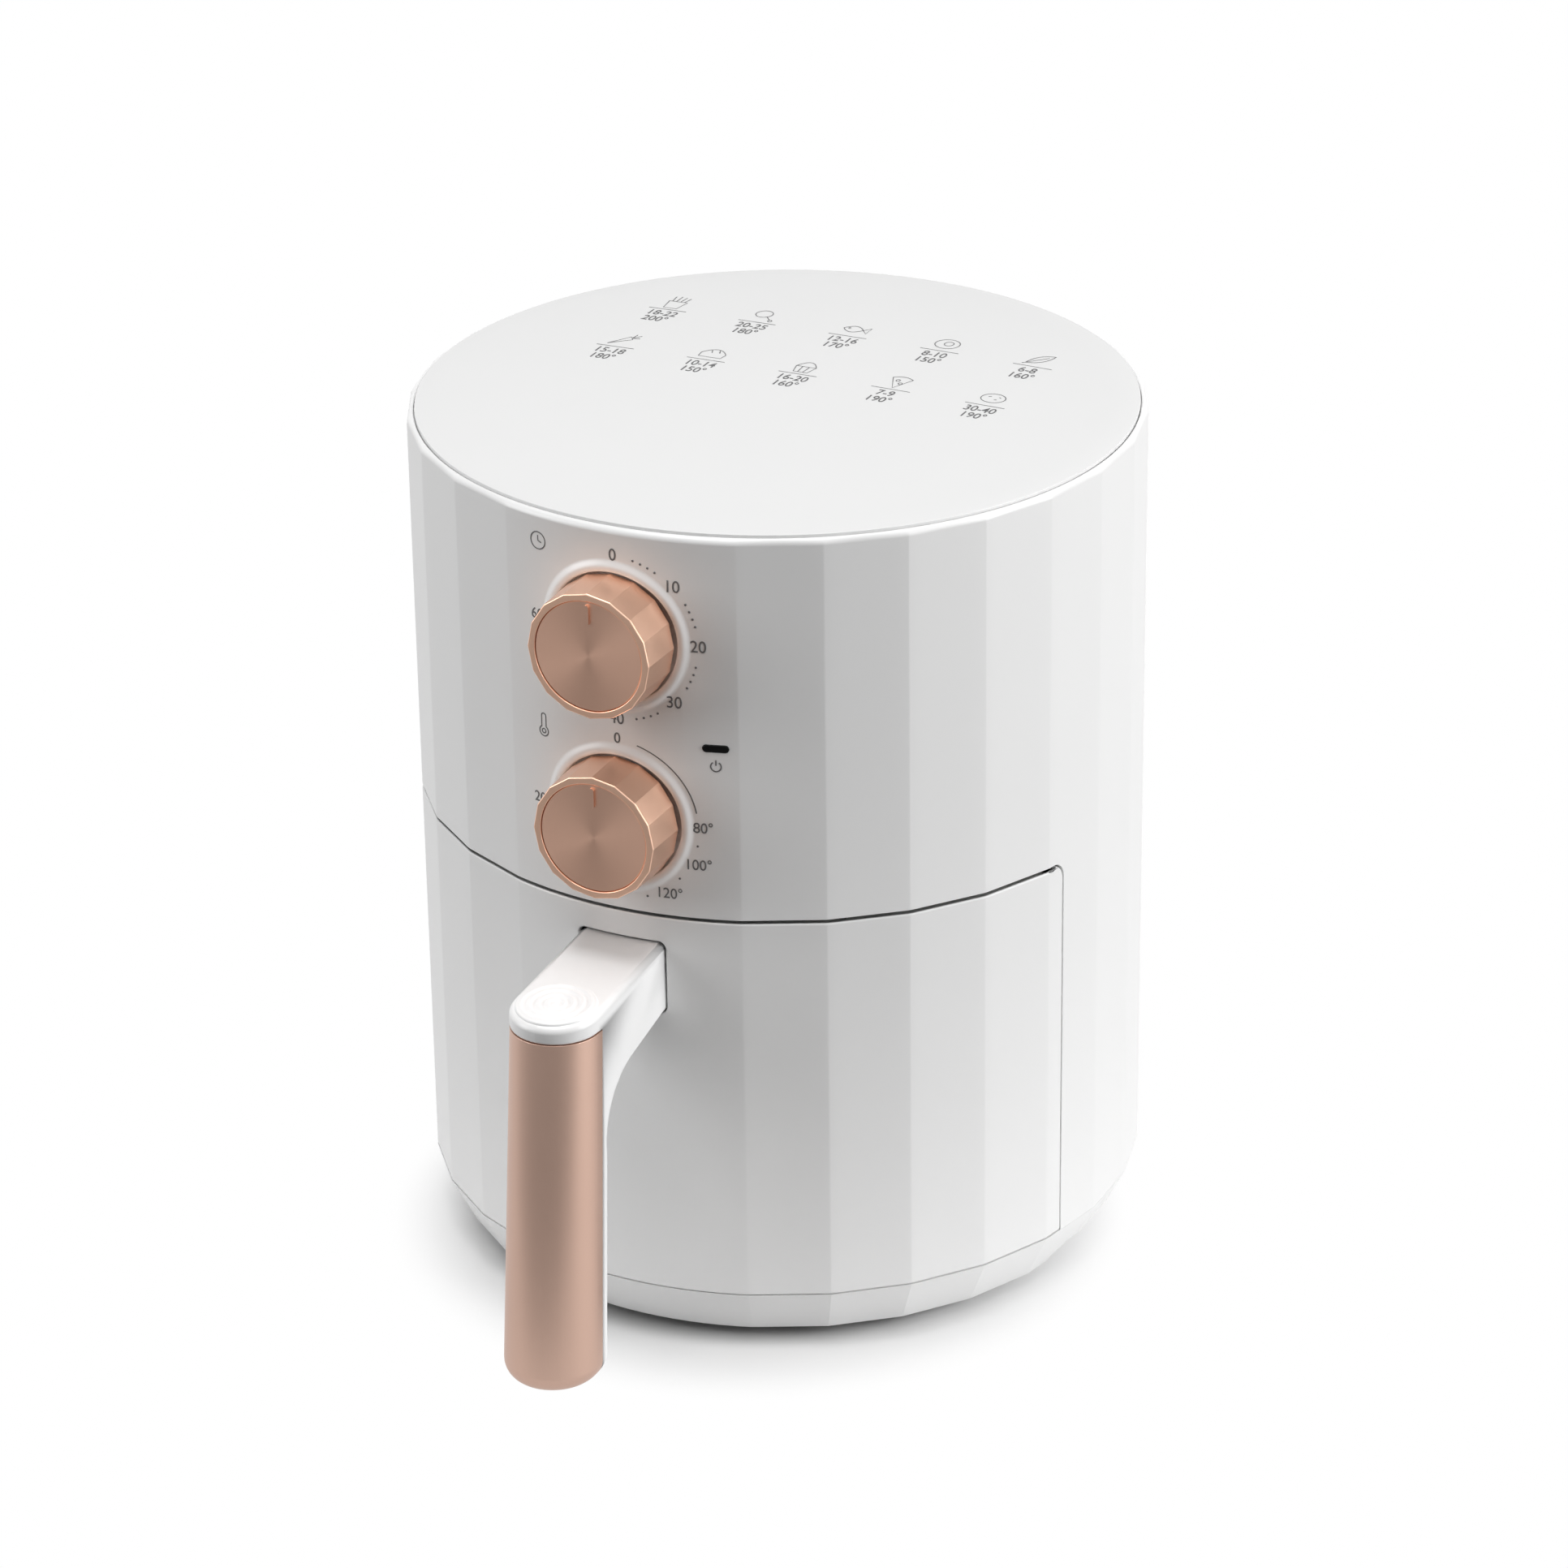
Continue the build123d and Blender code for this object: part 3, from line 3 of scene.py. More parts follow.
import bmesh
import bpy
from mathutils import Matrix, Vector


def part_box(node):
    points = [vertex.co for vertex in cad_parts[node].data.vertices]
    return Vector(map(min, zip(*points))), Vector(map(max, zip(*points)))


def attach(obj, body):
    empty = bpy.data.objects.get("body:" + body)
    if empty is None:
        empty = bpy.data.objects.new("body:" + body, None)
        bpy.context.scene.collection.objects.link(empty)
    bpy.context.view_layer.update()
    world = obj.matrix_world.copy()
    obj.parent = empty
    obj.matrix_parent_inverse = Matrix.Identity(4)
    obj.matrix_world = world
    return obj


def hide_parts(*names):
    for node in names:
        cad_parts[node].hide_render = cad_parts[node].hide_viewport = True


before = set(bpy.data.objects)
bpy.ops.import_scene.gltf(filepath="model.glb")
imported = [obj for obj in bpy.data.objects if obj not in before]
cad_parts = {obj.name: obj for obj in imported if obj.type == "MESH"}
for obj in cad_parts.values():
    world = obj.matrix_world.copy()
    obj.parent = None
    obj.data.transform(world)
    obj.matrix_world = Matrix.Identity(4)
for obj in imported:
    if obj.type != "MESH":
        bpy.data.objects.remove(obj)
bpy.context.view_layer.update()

# the body's plan: flat facets all round, three of them joined into one smooth front panel
plan = {"facets": 28, "panelFacets": 3, "panelStrips": 9, "facetStrips": 5, "softEdge": 0.0005,
        "wall": 0.0025, "edgeAngle": radians(35)}
mergeReach = 1e-6  # vertices nearer than this are one
cutSlack = 1e-7  # a vertex this near to a cutting plane lies on it
pickSlack = 1e-5  # room for rounding where edges are picked by their place
housingLow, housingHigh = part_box("housing")
coverLow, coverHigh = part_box("top_cover")
doorLow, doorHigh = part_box("drawer_front")
axisY = (coverLow.y + coverHigh.y) / 2
facetAngle = 2 * pi / plan["facets"]
panelHalf = plan["panelFacets"] * facetAngle / 2
bodyRadius = housingHigh.x / cos(facetAngle / 2)
bodyTop = housingHigh.z
seamGap = doorLow.z - housingLow.z
doorTop = doorHigh.z + seamGap


def planReach(turn, radius):
    beyond = abs(turn) - panelHalf
    if beyond <= 0:
        return radius
    local = beyond % facetAngle - facetAngle / 2
    return radius * cos(facetAngle / 2) / cos(local)


def around(turn, reach, height):
    return Vector((reach * sin(turn), axisY - reach * cos(turn), height))


def turnOf(place):
    return atan2(place.x, axisY - place.y)


def smoothStep(share):
    share = min(max(share, 0), 1)
    return share * share * (3 - 2 * share)


def arcPoints(centre, radius, start, end, steps):
    turns = [start + (end - start) * step / steps for step in range(steps + 1)]
    return [(centre[0] + radius * cos(turn), centre[1] + radius * sin(turn)) for turn in turns]


# finishes

noiseLook = {"low": 0.3, "high": 0.7, "driftDetail": 3, "grainDetail": 4, "ringDetail": 5}
mixColors, mixResult = (6, 7), 2  # a Mix node's colour sockets come after its number and vector ones


def addNodes(tree, *kinds):
    return [tree.nodes.new(kind) for kind in kinds]


def newFinish(name):
    finish = bpy.data.materials.new(name)
    finish.use_nodes = True
    return finish, finish.node_tree, finish.node_tree.nodes["Principled BSDF"]


def tint(color, share):
    return tuple(min(channel * share, 1) for channel in color) + (1,)


def noiseOn(tree, vector, scale, detail):
    noise = tree.nodes.new("ShaderNodeTexNoise")
    noise.inputs["Scale"].default_value = scale
    noise.inputs["Detail"].default_value = detail
    tree.links.new(vector, noise.inputs["Vector"])
    return noise.outputs["Fac"]


def rampOf(tree, value, start, end, low, high, kind="LINEAR"):
    ramp = tree.nodes.new("ShaderNodeMapRange")
    ramp.interpolation_type = kind
    for name, level in (("From Min", start), ("From Max", end), ("To Min", low), ("To Max", high)):
        ramp.inputs[name].default_value = level
    tree.links.new(value, ramp.inputs["Value"])
    return ramp.outputs["Result"]


def colorBetween(tree, share, *colors):
    mix = tree.nodes.new("ShaderNodeMix")
    mix.data_type = "RGBA"
    for socket, color in zip(mixColors, colors):
        mix.inputs[socket].default_value = color
    tree.links.new(share, mix.inputs[0])
    return mix.outputs[mixResult]


# the distance from a point, or from an axis where the scale leaves one direction out
def reachFrom(tree, shift, scale=(1, 1, 1)):
    place, centring, reach = addNodes(tree, "ShaderNodeTexCoord", "ShaderNodeMapping",
                                      "ShaderNodeVectorMath")
    centring.inputs["Location"].default_value = shift
    centring.inputs["Scale"].default_value = scale
    tree.links.new(place.outputs["Object"], centring.inputs["Vector"])
    reach.operation = "LENGTH"
    tree.links.new(centring.outputs["Vector"], reach.inputs[0])
    return reach.outputs["Value"]


def dress(tree, shader, look, shade, grain):
    low, high = tint(look["color"], 1 - look["shift"]), tint(look["color"], 1 + look["shift"])
    tree.links.new(colorBetween(tree, shade, low, high), shader.inputs["Base Color"])
    rough = rampOf(tree, grain, noiseLook["low"], noiseLook["high"], *look["roughness"])
    tree.links.new(rough, shader.inputs["Roughness"])
    bump = tree.nodes.new("ShaderNodeBump")
    bump.inputs["Strength"].default_value = look["bump"]
    bump.inputs["Distance"].default_value = look["grainDepth"]
    tree.links.new(grain, bump.inputs["Height"])
    tree.links.new(bump.outputs["Normal"], shader.inputs["Normal"])
    shader.inputs["Metallic"].default_value = look["metallic"]


def makeFinish(name, look):
    finish, tree, shader = newFinish(name)
    place = tree.nodes.new("ShaderNodeTexCoord").outputs["Object"]
    drift = noiseOn(tree, place, look["driftScale"], noiseLook["driftDetail"])
    grain = noiseOn(tree, place, look["grainScale"], noiseLook["grainDetail"])
    dress(tree, shader, look, drift, grain)
    shader.inputs["Specular IOR Level"].default_value = look["specular"]
    return finish


# metal turned on a lathe: fine rings about the dial's axis, and a fan-shaped sheen
def makeSpunFinish(name, look, centre):
    finish, tree, shader = newFinish(name)
    rings = tree.nodes.new("ShaderNodeTexNoise")
    rings.noise_dimensions = "1D"
    rings.inputs["Scale"].default_value = look["ringScale"]
    rings.inputs["Detail"].default_value = noiseLook["ringDetail"]
    tree.links.new(reachFrom(tree, (-centre.x, 0, -centre.z), (1, 0, 1)), rings.inputs["W"])
    dress(tree, shader, look, rings.outputs["Fac"], rings.outputs["Fac"])
    turning = tree.nodes.new("ShaderNodeTangent")
    turning.direction_type = "RADIAL"
    turning.axis = "Y"
    tree.links.new(turning.outputs["Tangent"], shader.inputs["Tangent"])
    shader.inputs["Anisotropic"].default_value = look["anisotropy"]
    return finish


def plainLook(color, roughness, **changes):
    look = {"color": color, "shift": 0.03, "driftScale": 30, "grainScale": 1400, "bump": 0.15,
            "grainDepth": 0.00005, "roughness": roughness, "metallic": 0, "specular": 0.5}
    look.update(changes)
    return look


roseColor = (0.785, 0.505, 0.372)
moulded = {"shift": 0.008, "bump": 0.06, "grainScale": 2600}
looks = {
    "white_plastic": plainLook((0.87, 0.87, 0.868), (0.30, 0.38), **moulded),
    # the cover's finish is a darker copy of the white plastic: painted shade that keeps the top disc
    # dimmer than the top lamp makes it
    "cover_plastic_painted_shade": plainLook((0.775, 0.775, 0.773), (0.32, 0.40), **moulded),
    # the handle's finish is a lighter copy of the white plastic: painted light that brightens the arm
    # beyond what the lamps give it
    "handle_plastic_painted_light": plainLook((0.93, 0.93, 0.93), (0.28, 0.36), shift=0.008, bump=0.05, grainScale=2600),
    "grey_plastic": plainLook((0.62, 0.62, 0.61), (0.45, 0.58)),
    "rose_metal": plainLook(roseColor, (0.33, 0.39), metallic=1, shift=0.015, bump=0.015, grainScale=3200),
    "rose_grip": plainLook((0.545, 0.372, 0.30), (0.36, 0.46), metallic=1, bump=0.35, grainScale=3600),
    "black_rubber": plainLook((0.03, 0.03, 0.03), (0.6, 0.8), grainScale=900, bump=0.3),
    "silicone": plainLook((0.28, 0.28, 0.29), (0.5, 0.65)),
    "pan_coating": plainLook((0.055, 0.055, 0.058), (0.34, 0.5), shift=0.35, driftScale=700, bump=0.25),
    "sheet_steel": plainLook((0.52, 0.52, 0.52), (0.28, 0.45), metallic=1, shift=0.08),
    "bright_steel": plainLook((0.62, 0.62, 0.63), (0.18, 0.3), metallic=1),
    "heater_tube": plainLook((0.16, 0.15, 0.145), (0.35, 0.5), metallic=1, shift=0.25, driftScale=60),
    "lamination": plainLook((0.33, 0.33, 0.34), (0.4, 0.55), metallic=1, shift=0.1, driftScale=400),
    "copper_wire": plainLook((0.55, 0.22, 0.09), (0.25, 0.4), metallic=1, shift=0.12, driftScale=500),
    "fan_aluminium": plainLook((0.72, 0.72, 0.73), (0.25, 0.38), metallic=1),
    "black_plastic": plainLook((0.03, 0.03, 0.032), (0.4, 0.55)),
    "fuse_shell": plainLook((0.55, 0.5, 0.42), (0.3, 0.45), metallic=1),
    "dark_lens": plainLook((0.005, 0.005, 0.005), (0.08, 0.12), bump=0.01, specular=0.15),
    "print_ink": plainLook((0.12, 0.12, 0.122), (0.5, 0.6), bump=0.05),
}
finishes = {name: makeFinish(name, look) for name, look in looks.items()}
print("finishes ready", len(finishes))


# making pieces

def closeUp(bm, distance=mergeReach):
    bmesh.ops.remove_doubles(bm, verts=bm.verts[:], dist=distance)
    bmesh.ops.recalc_face_normals(bm, faces=bm.faces[:])


def allOf(bm):
    return bm.verts[:] + bm.edges[:] + bm.faces[:]


def vertsIn(made):
    return [item for item in made["geom"] if isinstance(item, bmesh.types.BMVert)]


def edgesIn(made):
    return [item for item in made["geom"] if isinstance(item, bmesh.types.BMEdge)]


def newObject(name, bm, finish):
    mesh = bpy.data.meshes.new(name)
    bm.to_mesh(mesh)
    bm.free()
    mesh.materials.append(finish)
    made = bpy.data.objects.new(name, mesh)
    bpy.context.scene.collection.objects.link(made)
    return made


def addPiece(name, bm, finish, body, slot, *nodes):
    piece = newObject(name, bm, finish)
    piece.data.shade_smooth()
    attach(piece, body)
    if nodes:
        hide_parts(*nodes)
    return piece


def evenNormals(piece):
    piece.modifiers.new("evenNormals", "WEIGHTED_NORMAL")


def softEdges(piece, width, angle, segments=3):
    bevel = piece.modifiers.new("softEdges", "BEVEL")
    bevel.limit_method = "ANGLE"
    bevel.angle_limit = angle
    bevel.width = width
    bevel.segments = segments
    evenNormals(piece)


def bevelEdges(bm, edges, width, segments):
    bmesh.ops.bevel(bm, geom=edges, offset=width, offset_type="OFFSET", segments=segments, profile=0.5,
                    affect="EDGES", clamp_overlap=False, material=-1)


def spinProfile(bm, profile, steps, centre=(0, 0, 0), closed=False):
    verts = [bm.verts.new((centre[0] + reach, centre[1], centre[2] + height)) for reach, height in profile]
    pairs = list(zip(verts, verts[1:]))
    if closed:
        pairs.append((verts[-1], verts[0]))
    edges = [bm.edges.new(pair) for pair in pairs]
    bmesh.ops.spin(bm, geom=verts + edges, cent=centre, axis=(0, 0, 1), angle=2 * pi, steps=steps,
                   use_merge=True)


def raiseOutline(bm, outline, bottom, rise):
    face = bm.faces.new([bm.verts.new((across, up, bottom)) for across, up in outline])
    raised = bmesh.ops.extrude_face_region(bm, geom=[face], use_keep_orig=True)
    bmesh.ops.translate(bm, verts=vertsIn(raised), vec=(0, 0, rise))


def joinMesh(bm, mesh):
    bm.from_mesh(mesh)
    bpy.data.meshes.remove(mesh)


def joinShape(bm, other):
    mesh = bpy.data.meshes.new("joined")
    other.to_mesh(mesh)
    other.free()
    joinMesh(bm, mesh)


# a half of the body's wall, cut flat from one outline and rolled round the axis, then mirrored;
# the top edge may fall away inwards, so that a seam above it reads as a dark line
def rolledWall(outline, topHeight, topDrop):
    bm = bmesh.new()
    bm.faces.new([bm.verts.new((along, 0, height)) for along, height in outline])
    soft = plan["softEdge"] / bodyRadius
    strips = [facetAngle * strip / plan["facetStrips"] for strip in range(1, plan["facetStrips"])]
    turns = [panelHalf * strip / plan["panelStrips"] for strip in range(1, plan["panelStrips"])]
    corner = panelHalf
    while corner < pi:
        turns += [corner - soft, corner + soft]
        turns += [corner + strip for strip in strips]
        corner += facetAngle
    for turn in (turn for turn in turns if turn < pi):
        bmesh.ops.bisect_plane(bm, geom=allOf(bm), dist=cutSlack, plane_co=(turn * bodyRadius, 0, 0),
                               plane_no=(1, 0, 0))

    def rolled(vert, inset, drop):
        turn = vert.co.x / bodyRadius
        return around(turn, planReach(turn, bodyRadius - inset), vert.co.z - drop)

    innerVerts = set(vertsIn(bmesh.ops.extrude_face_region(bm, geom=bm.faces[:], use_keep_orig=True)))
    for vert in bm.verts:
        drop = topDrop if vert.co.z > topHeight - pickSlack else 0
        vert.co = rolled(vert, plan["wall"], drop) if vert in innerVerts else rolled(vert, 0, 0)
    middle = [face for face in bm.faces if all(abs(vert.co.x) < cutSlack for vert in face.verts)]
    bmesh.ops.delete(bm, geom=middle, context="FACES")
    bmesh.ops.mirror(bm, geom=allOf(bm), matrix=Matrix.Identity(4), merge_dist=mergeReach, axis="X")
    closeUp(bm)
    return bm


# upper shell: one moulding from the rim down to the base at the back, open in front for the drawer
shell = {"doorHalfTurn": radians(74.5), "doorCorner": 0.006, "cornerSteps": 6, "rimStart": 0.0095,
         "rimRound": 0.0023, "rimSteps": 8, "rimSink": 0.0005, "lipEdge": 0.0003, "pocketDepth": 0.003,
         "ledge": 0.006, "ledgeDepth": 0.0055, "grilleFacets": 5, "dialHole": 0.0262, "dialSteps": 24,
         "edge": 0.0008, "shelfRadius": 0.108, "shelfLift": 0.002, "shelfThickness": 0.0025,
         "shelfSteps": 84}
dialPlaces = []
for dial in ("timer", "temperature"):
    knobLow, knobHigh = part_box(dial + "_knob")
    dialPlaces.append((dial, (knobLow + knobHigh) / 2, knobLow, knobHigh))
grilleLow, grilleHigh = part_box("rear_grille")
rimLow = bodyTop - shell["rimStart"]
doorEnd = shell["doorHalfTurn"] * bodyRadius
backEnd = pi * bodyRadius
grilleEnd = backEnd - shell["grilleFacets"] * facetAngle / 2 * bodyRadius
cornerCentre = (doorEnd - shell["doorCorner"], doorTop - shell["doorCorner"])
shellOutline = [(0, doorTop)]
shellOutline += arcPoints(cornerCentre, shell["doorCorner"], pi / 2, 0, shell["cornerSteps"])
shellOutline += [(doorEnd, housingLow.z), (backEnd, housingLow.z), (backEnd, grilleLow.z - seamGap)]
shellOutline += [(grilleEnd, grilleLow.z - seamGap), (grilleEnd, grilleHigh.z + seamGap)]
shellOutline += [(backEnd, grilleHigh.z + seamGap), (backEnd, rimLow), (0, rimLow)]
for dial, centre, knobLow, knobHigh in dialPlaces:
    shellOutline += arcPoints((0, centre.z), shell["dialHole"], pi / 2, -pi / 2, shell["dialSteps"])
bm = rolledWall(shellOutline, bodyTop, 0)

# the rim grows from the wall's top edge, row by row, and turns from the facets to a circle
topFaces = [face for face in bm.faces if all(abs(vert.co.z - rimLow) < pickSlack for vert in face.verts)]
bmesh.ops.delete(bm, geom=topFaces, context="FACES_ONLY")
openEdges = [edge for edge in bm.edges if edge.is_boundary]
wallMiddle = bodyRadius - plan["wall"] / 2
outerEdges = [edge for edge in openEdges
              if hypot(edge.verts[0].co.x, edge.verts[0].co.y - axisY) > wallMiddle]
innerEdges = [edge for edge in openEdges if edge not in outerEdges]
rimTop = bodyTop - shell["rimSink"]
rimBottom = rimTop - shell["rimRound"]
lipRadius = coverHigh.x
pocketFloor = bodyTop - shell["pocketDepth"]
rimRows = []
for step in range(shell["rimSteps"] + 1):
    turn = pi / 2 * step / shell["rimSteps"]
    height = rimBottom + shell["rimRound"] * sin(turn)
    rimRows.append((1 - cos(turn), lipRadius + shell["lipEdge"], height))
rimRows += [(1, lipRadius, rimTop - shell["lipEdge"]), (1, lipRadius, pocketFloor)]
rimRows.append((1, lipRadius - shell["ledge"], pocketFloor))
rimRows.append((1, lipRadius - shell["ledge"], bodyTop - shell["ledgeDepth"]))
for roundness, radius, height in rimRows:
    outerEdges = edgesIn(bmesh.ops.extrude_edge_only(bm, edges=outerEdges))
    for vert in {vert for edge in outerEdges for vert in edge.verts}:
        turn = turnOf(vert.co)
        wallReach = planReach(turn, bodyRadius)
        vert.co = around(turn, wallReach + (radius - wallReach) * roundness, height)
bmesh.ops.bridge_loops(bm, edges=outerEdges + innerEdges)
closeUp(bm)

# a shelf inside, over the drawer's opening
shelfOuter = (bodyRadius - plan["wall"]) * cos(facetAngle / 2)
shelfLow = doorTop + shell["shelfLift"]
shelfHigh = shelfLow + shell["shelfThickness"]
shelfProfile = [(shell["shelfRadius"], shelfLow), (shelfOuter, shelfLow), (shelfOuter, shelfHigh),
                (shell["shelfRadius"], shelfHigh)]
shelf = bmesh.new()
spinProfile(shelf, shelfProfile, shell["shelfSteps"], (0, axisY, 0), closed=True)
closeUp(shelf)
joinShape(bm, shelf)
white = finishes["white_plastic"]
shellPiece = addPiece("upper_shell", bm, white, "housing", "white_plastic", "housing")
softEdges(shellPiece, shell["edge"], plan["edgeAngle"])
print("upper shell", len(shellPiece.data.polygons), "faces")


# drawer front: the same wall, with a cut for the root of the handle, whose sizes stand here too
door = {"edge": 0.0008, "sideGap": 0.0003, "footGap": 0.0003, "armGap": 0.0007, "armCorner": 0.0028,
        "topRound": 0.0015, "topSteps": 5, "cornerSteps": 5, "topDrop": 0.002}
arm = {"halfWidth": 0.016, "rootReach": 0.1206, "rootBottom": 0.1314, "rootTop": 0.1576, "fall": 0.0044,
       "bendReach": 0.155, "bendHeight": 0.126, "underHeight": 0.1, "arcSteps": 12, "padReach": 0.178,
       "noseShare": 0.998, "noseSteps": 12, "endRound": 0.007, "endSteps": 8, "lean": 0.0102,
       "flare": 0.0015, "strip": 0.005, "backInset": 0.0075, "lipGap": 0.0001, "sharpAngle": radians(40),
       "edge": 0.0024, "edgeSteps": 6, "lipEdge": 0.0012, "lipSteps": 3, "backEdge": 0.0022,
       "backSteps": 4, "noseMargin": 0.001, "topMargin": 0.004, "stripMargin": 0.0004}
doorSide = doorEnd - door["sideGap"]
doorFoot = housingLow.z + door["footGap"]
doorCorner = shell["doorCorner"] - door["sideGap"]
cornerCentre = (doorSide - doorCorner, doorHigh.z - doorCorner)
armTop = arm["rootTop"] + door["armGap"]
armBottom = arm["rootBottom"] - door["armGap"]
armSide = arm["halfWidth"] + door["armGap"]
armCorner = door["armCorner"]
lowCorner = (armSide - armCorner, armBottom + armCorner)
highCorner = (armSide - armCorner, armTop - armCorner)
doorOutline = [(0, doorHigh.z)]
doorOutline += arcPoints(cornerCentre, doorCorner, pi / 2, 0, shell["cornerSteps"])
doorOutline += [(doorSide, doorFoot), (0, doorFoot), (0, armBottom)]
doorOutline += arcPoints(lowCorner, armCorner, -pi / 2, 0, door["cornerSteps"])
doorOutline += arcPoints(highCorner, armCorner, 0, pi / 2, door["cornerSteps"])
doorOutline += [(0, armTop)]
bm = rolledWall(doorOutline, doorHigh.z, door["topDrop"])
topEdges = [edge for edge in bm.edges if all(vert.co.z > doorHigh.z - pickSlack for vert in edge.verts)]
bevelEdges(bm, topEdges, door["topRound"], door["topSteps"])
doorPiece = addPiece("drawer_panel", bm, white, "drawer", "white_plastic", "drawer_front")
softEdges(doorPiece, door["edge"], plan["edgeAngle"])
doorPiece.modifiers["softEdges"].use_clamp_overlap = False
print("drawer panel", len(doorPiece.data.polygons), "faces")


# top cover: a slightly crowned disc with a fine rounded edge and its locating skirt
cover = {"edgeGap": 0.0004, "edgeRise": 0.0004, "edgeRound": 0.0003, "edgeSteps": 4, "crownSteps": 14,
         "thickness": 0.003, "steps": 168, "skirtRadius": 0.1214, "skirtWall": 0.002}
coverRadius = coverHigh.x - cover["edgeGap"]
crown = coverHigh.z - bodyTop


def crownHeight(reach):
    return coverHigh.z - (crown - cover["edgeRise"]) * (reach / coverRadius) ** 2


edgeReach = coverRadius - cover["edgeRound"]
crownReaches = [edgeReach * step / cover["crownSteps"] for step in range(cover["crownSteps"] + 1)]
coverProfile = [(reach, crownHeight(reach)) for reach in crownReaches]
edgeCentre = (edgeReach, coverProfile[-1][1] - cover["edgeRound"])
coverProfile += arcPoints(edgeCentre, cover["edgeRound"], pi / 2, 0, cover["edgeSteps"])[1:]
coverUnder = bodyTop - cover["thickness"]
skirtInner = cover["skirtRadius"] - cover["skirtWall"]
coverProfile += [(coverRadius, coverUnder), (cover["skirtRadius"], coverUnder)]
coverProfile += [(cover["skirtRadius"], coverLow.z), (skirtInner, coverLow.z)]
coverProfile += [(skirtInner, coverUnder), (0, coverUnder)]
bm = bmesh.new()
spinProfile(bm, coverProfile, cover["steps"], (0, axisY, 0))
closeUp(bm)
# the top disc takes the darker copy of the white plastic, painted shade on its lit top
coverPiece = addPiece("top_disc", bm, finishes["cover_plastic_painted_shade"], "housing", "white_plastic", "top_cover")
coverPiece.data.set_sharp_from_angle(angle=plan["edgeAngle"])
print("top disc", len(coverPiece.data.polygons), "faces")


# dials: a soft raised collar in the panel, a sixteen-sided knob and its turned face
collar = {"well": 0.0235, "wellDepth": 0.003, "wellWall": 0.001, "hole": 0.004, "rise": 0.001,
          "peak": 0.0019, "tail": 0.0047, "foot": 0.0006, "lipSteps": 6, "tailSteps": 8, "steps": 96,
          "sharpAngle": radians(50)}
knob = {"sides": 16, "columns": 4, "baseRadius": 0.0231, "faceRadius": 0.0227, "facetsFrom": 0.0217,
        "neckRadius": 0.0212, "neckHeight": 0.0022, "hollow": 0.0188, "web": 0.0151, "rimEdge": 0.0003,
        "seatEdge": 0.00015, "facetEdge": 0.0002, "edgeAngle": radians(15), "edgeSteps": 2}
cap = {"radius": 0.02, "gap": 0.0001, "sink": 0.0004, "thickness": 0.0012, "edge": 0.0003, "steps": 96,
       "pointerLength": 0.0074, "pointerWidth": 0.0018, "pointerInset": 0.0012, "pointerHeight": 0.0009,
       "pointerSink": 0.0002, "pointerSteps": 8}
spunLook = {"color": (0.80, 0.50, 0.375), "shift": 0.02, "roughness": (0.28, 0.34), "ringScale": 5200,
            "grainDepth": 0.00003, "bump": 0.06, "metallic": 1, "anisotropy": 0.6}


# the collar swells up beside the well and runs out flat into the panel
def collarRise(reach):
    peak, tail = collar["peak"], collar["tail"]
    across = reach - collar["well"]
    if across < 0 or across > tail:
        return 0
    if across < peak:
        return collar["rise"] * sqrt(1 - (1 - across / peak) ** 2)
    return collar["rise"] * (0.5 + 0.5 * cos(pi * (across - peak) / (tail - peak)))


def wrapOnPanel(bm, height, lift=0):
    for vert in bm.verts:
        turn = vert.co.x / bodyRadius
        vert.co = around(turn, bodyRadius + vert.co.z + lift, height + vert.co.y)


def turnToFront(bm, centre, back):
    for vert in bm.verts:
        vert.co = Vector((centre.x + vert.co.x, back - vert.co.z, centre.z + vert.co.y))


def flattenSides(bm):
    side = 2 * pi / knob["sides"]
    for vert in bm.verts:
        if hypot(vert.co.x, vert.co.y) > knob["facetsFrom"]:
            local = atan2(vert.co.y, vert.co.x) % side - side / 2
            share = cos(side / 2) / cos(local)
            vert.co.x *= share
            vert.co.y *= share


def makeCollar(dial, centre):
    well, peak, tail = collar["well"], collar["peak"], collar["tail"]
    floor = -collar["wellDepth"]
    underside = floor - collar["wellWall"]
    lipSteps, tailSteps = collar["lipSteps"], collar["tailSteps"]
    reaches = [well + peak * (1 - cos(pi / 2 * step / lipSteps)) for step in range(lipSteps + 1)]
    reaches += [well + peak + (tail - peak) * step / tailSteps for step in range(1, tailSteps + 1)]
    profile = [(collar["hole"], floor), (well, floor)]
    profile += [(reach, collarRise(reach)) for reach in reaches]
    profile += [(well + tail, -collar["foot"]), (well + collar["wellWall"], underside)]
    profile.append((collar["hole"], underside))
    bm = bmesh.new()
    spinProfile(bm, profile, collar["steps"], closed=True)
    closeUp(bm)
    wrapOnPanel(bm, centre.z)
    closeUp(bm)
    piece = addPiece(dial + "_collar", bm, white, "housing", "white_plastic")
    piece.data.set_sharp_from_angle(angle=collar["sharpAngle"])


def makeKnob(dial, centre, back, height, seat):
    profile = [(0, knob["web"]), (knob["hollow"], knob["web"]), (knob["hollow"], 0)]
    profile += [(knob["neckRadius"], 0), (knob["neckRadius"], knob["neckHeight"])]
    profile += [(knob["baseRadius"], knob["neckHeight"]), (knob["faceRadius"], height - knob["rimEdge"])]
    profile += [(knob["faceRadius"] - knob["rimEdge"], height), (cap["radius"] + knob["seatEdge"], height)]
    profile += [(cap["radius"], height - knob["seatEdge"]), (cap["radius"], seat), (0, seat)]
    bm = bmesh.new()
    spinProfile(bm, profile, knob["sides"] * knob["columns"])
    flattenSides(bm)
    turnToFront(bm, centre, back)
    closeUp(bm)
    piece = addPiece(dial + "_knob_body", bm, finishes["rose_metal"], dial + "_dial", "rose_metal",
                     dial + "_knob")
    piece.data.shade_flat()
    softEdges(piece, knob["facetEdge"], knob["edgeAngle"], knob["edgeSteps"])


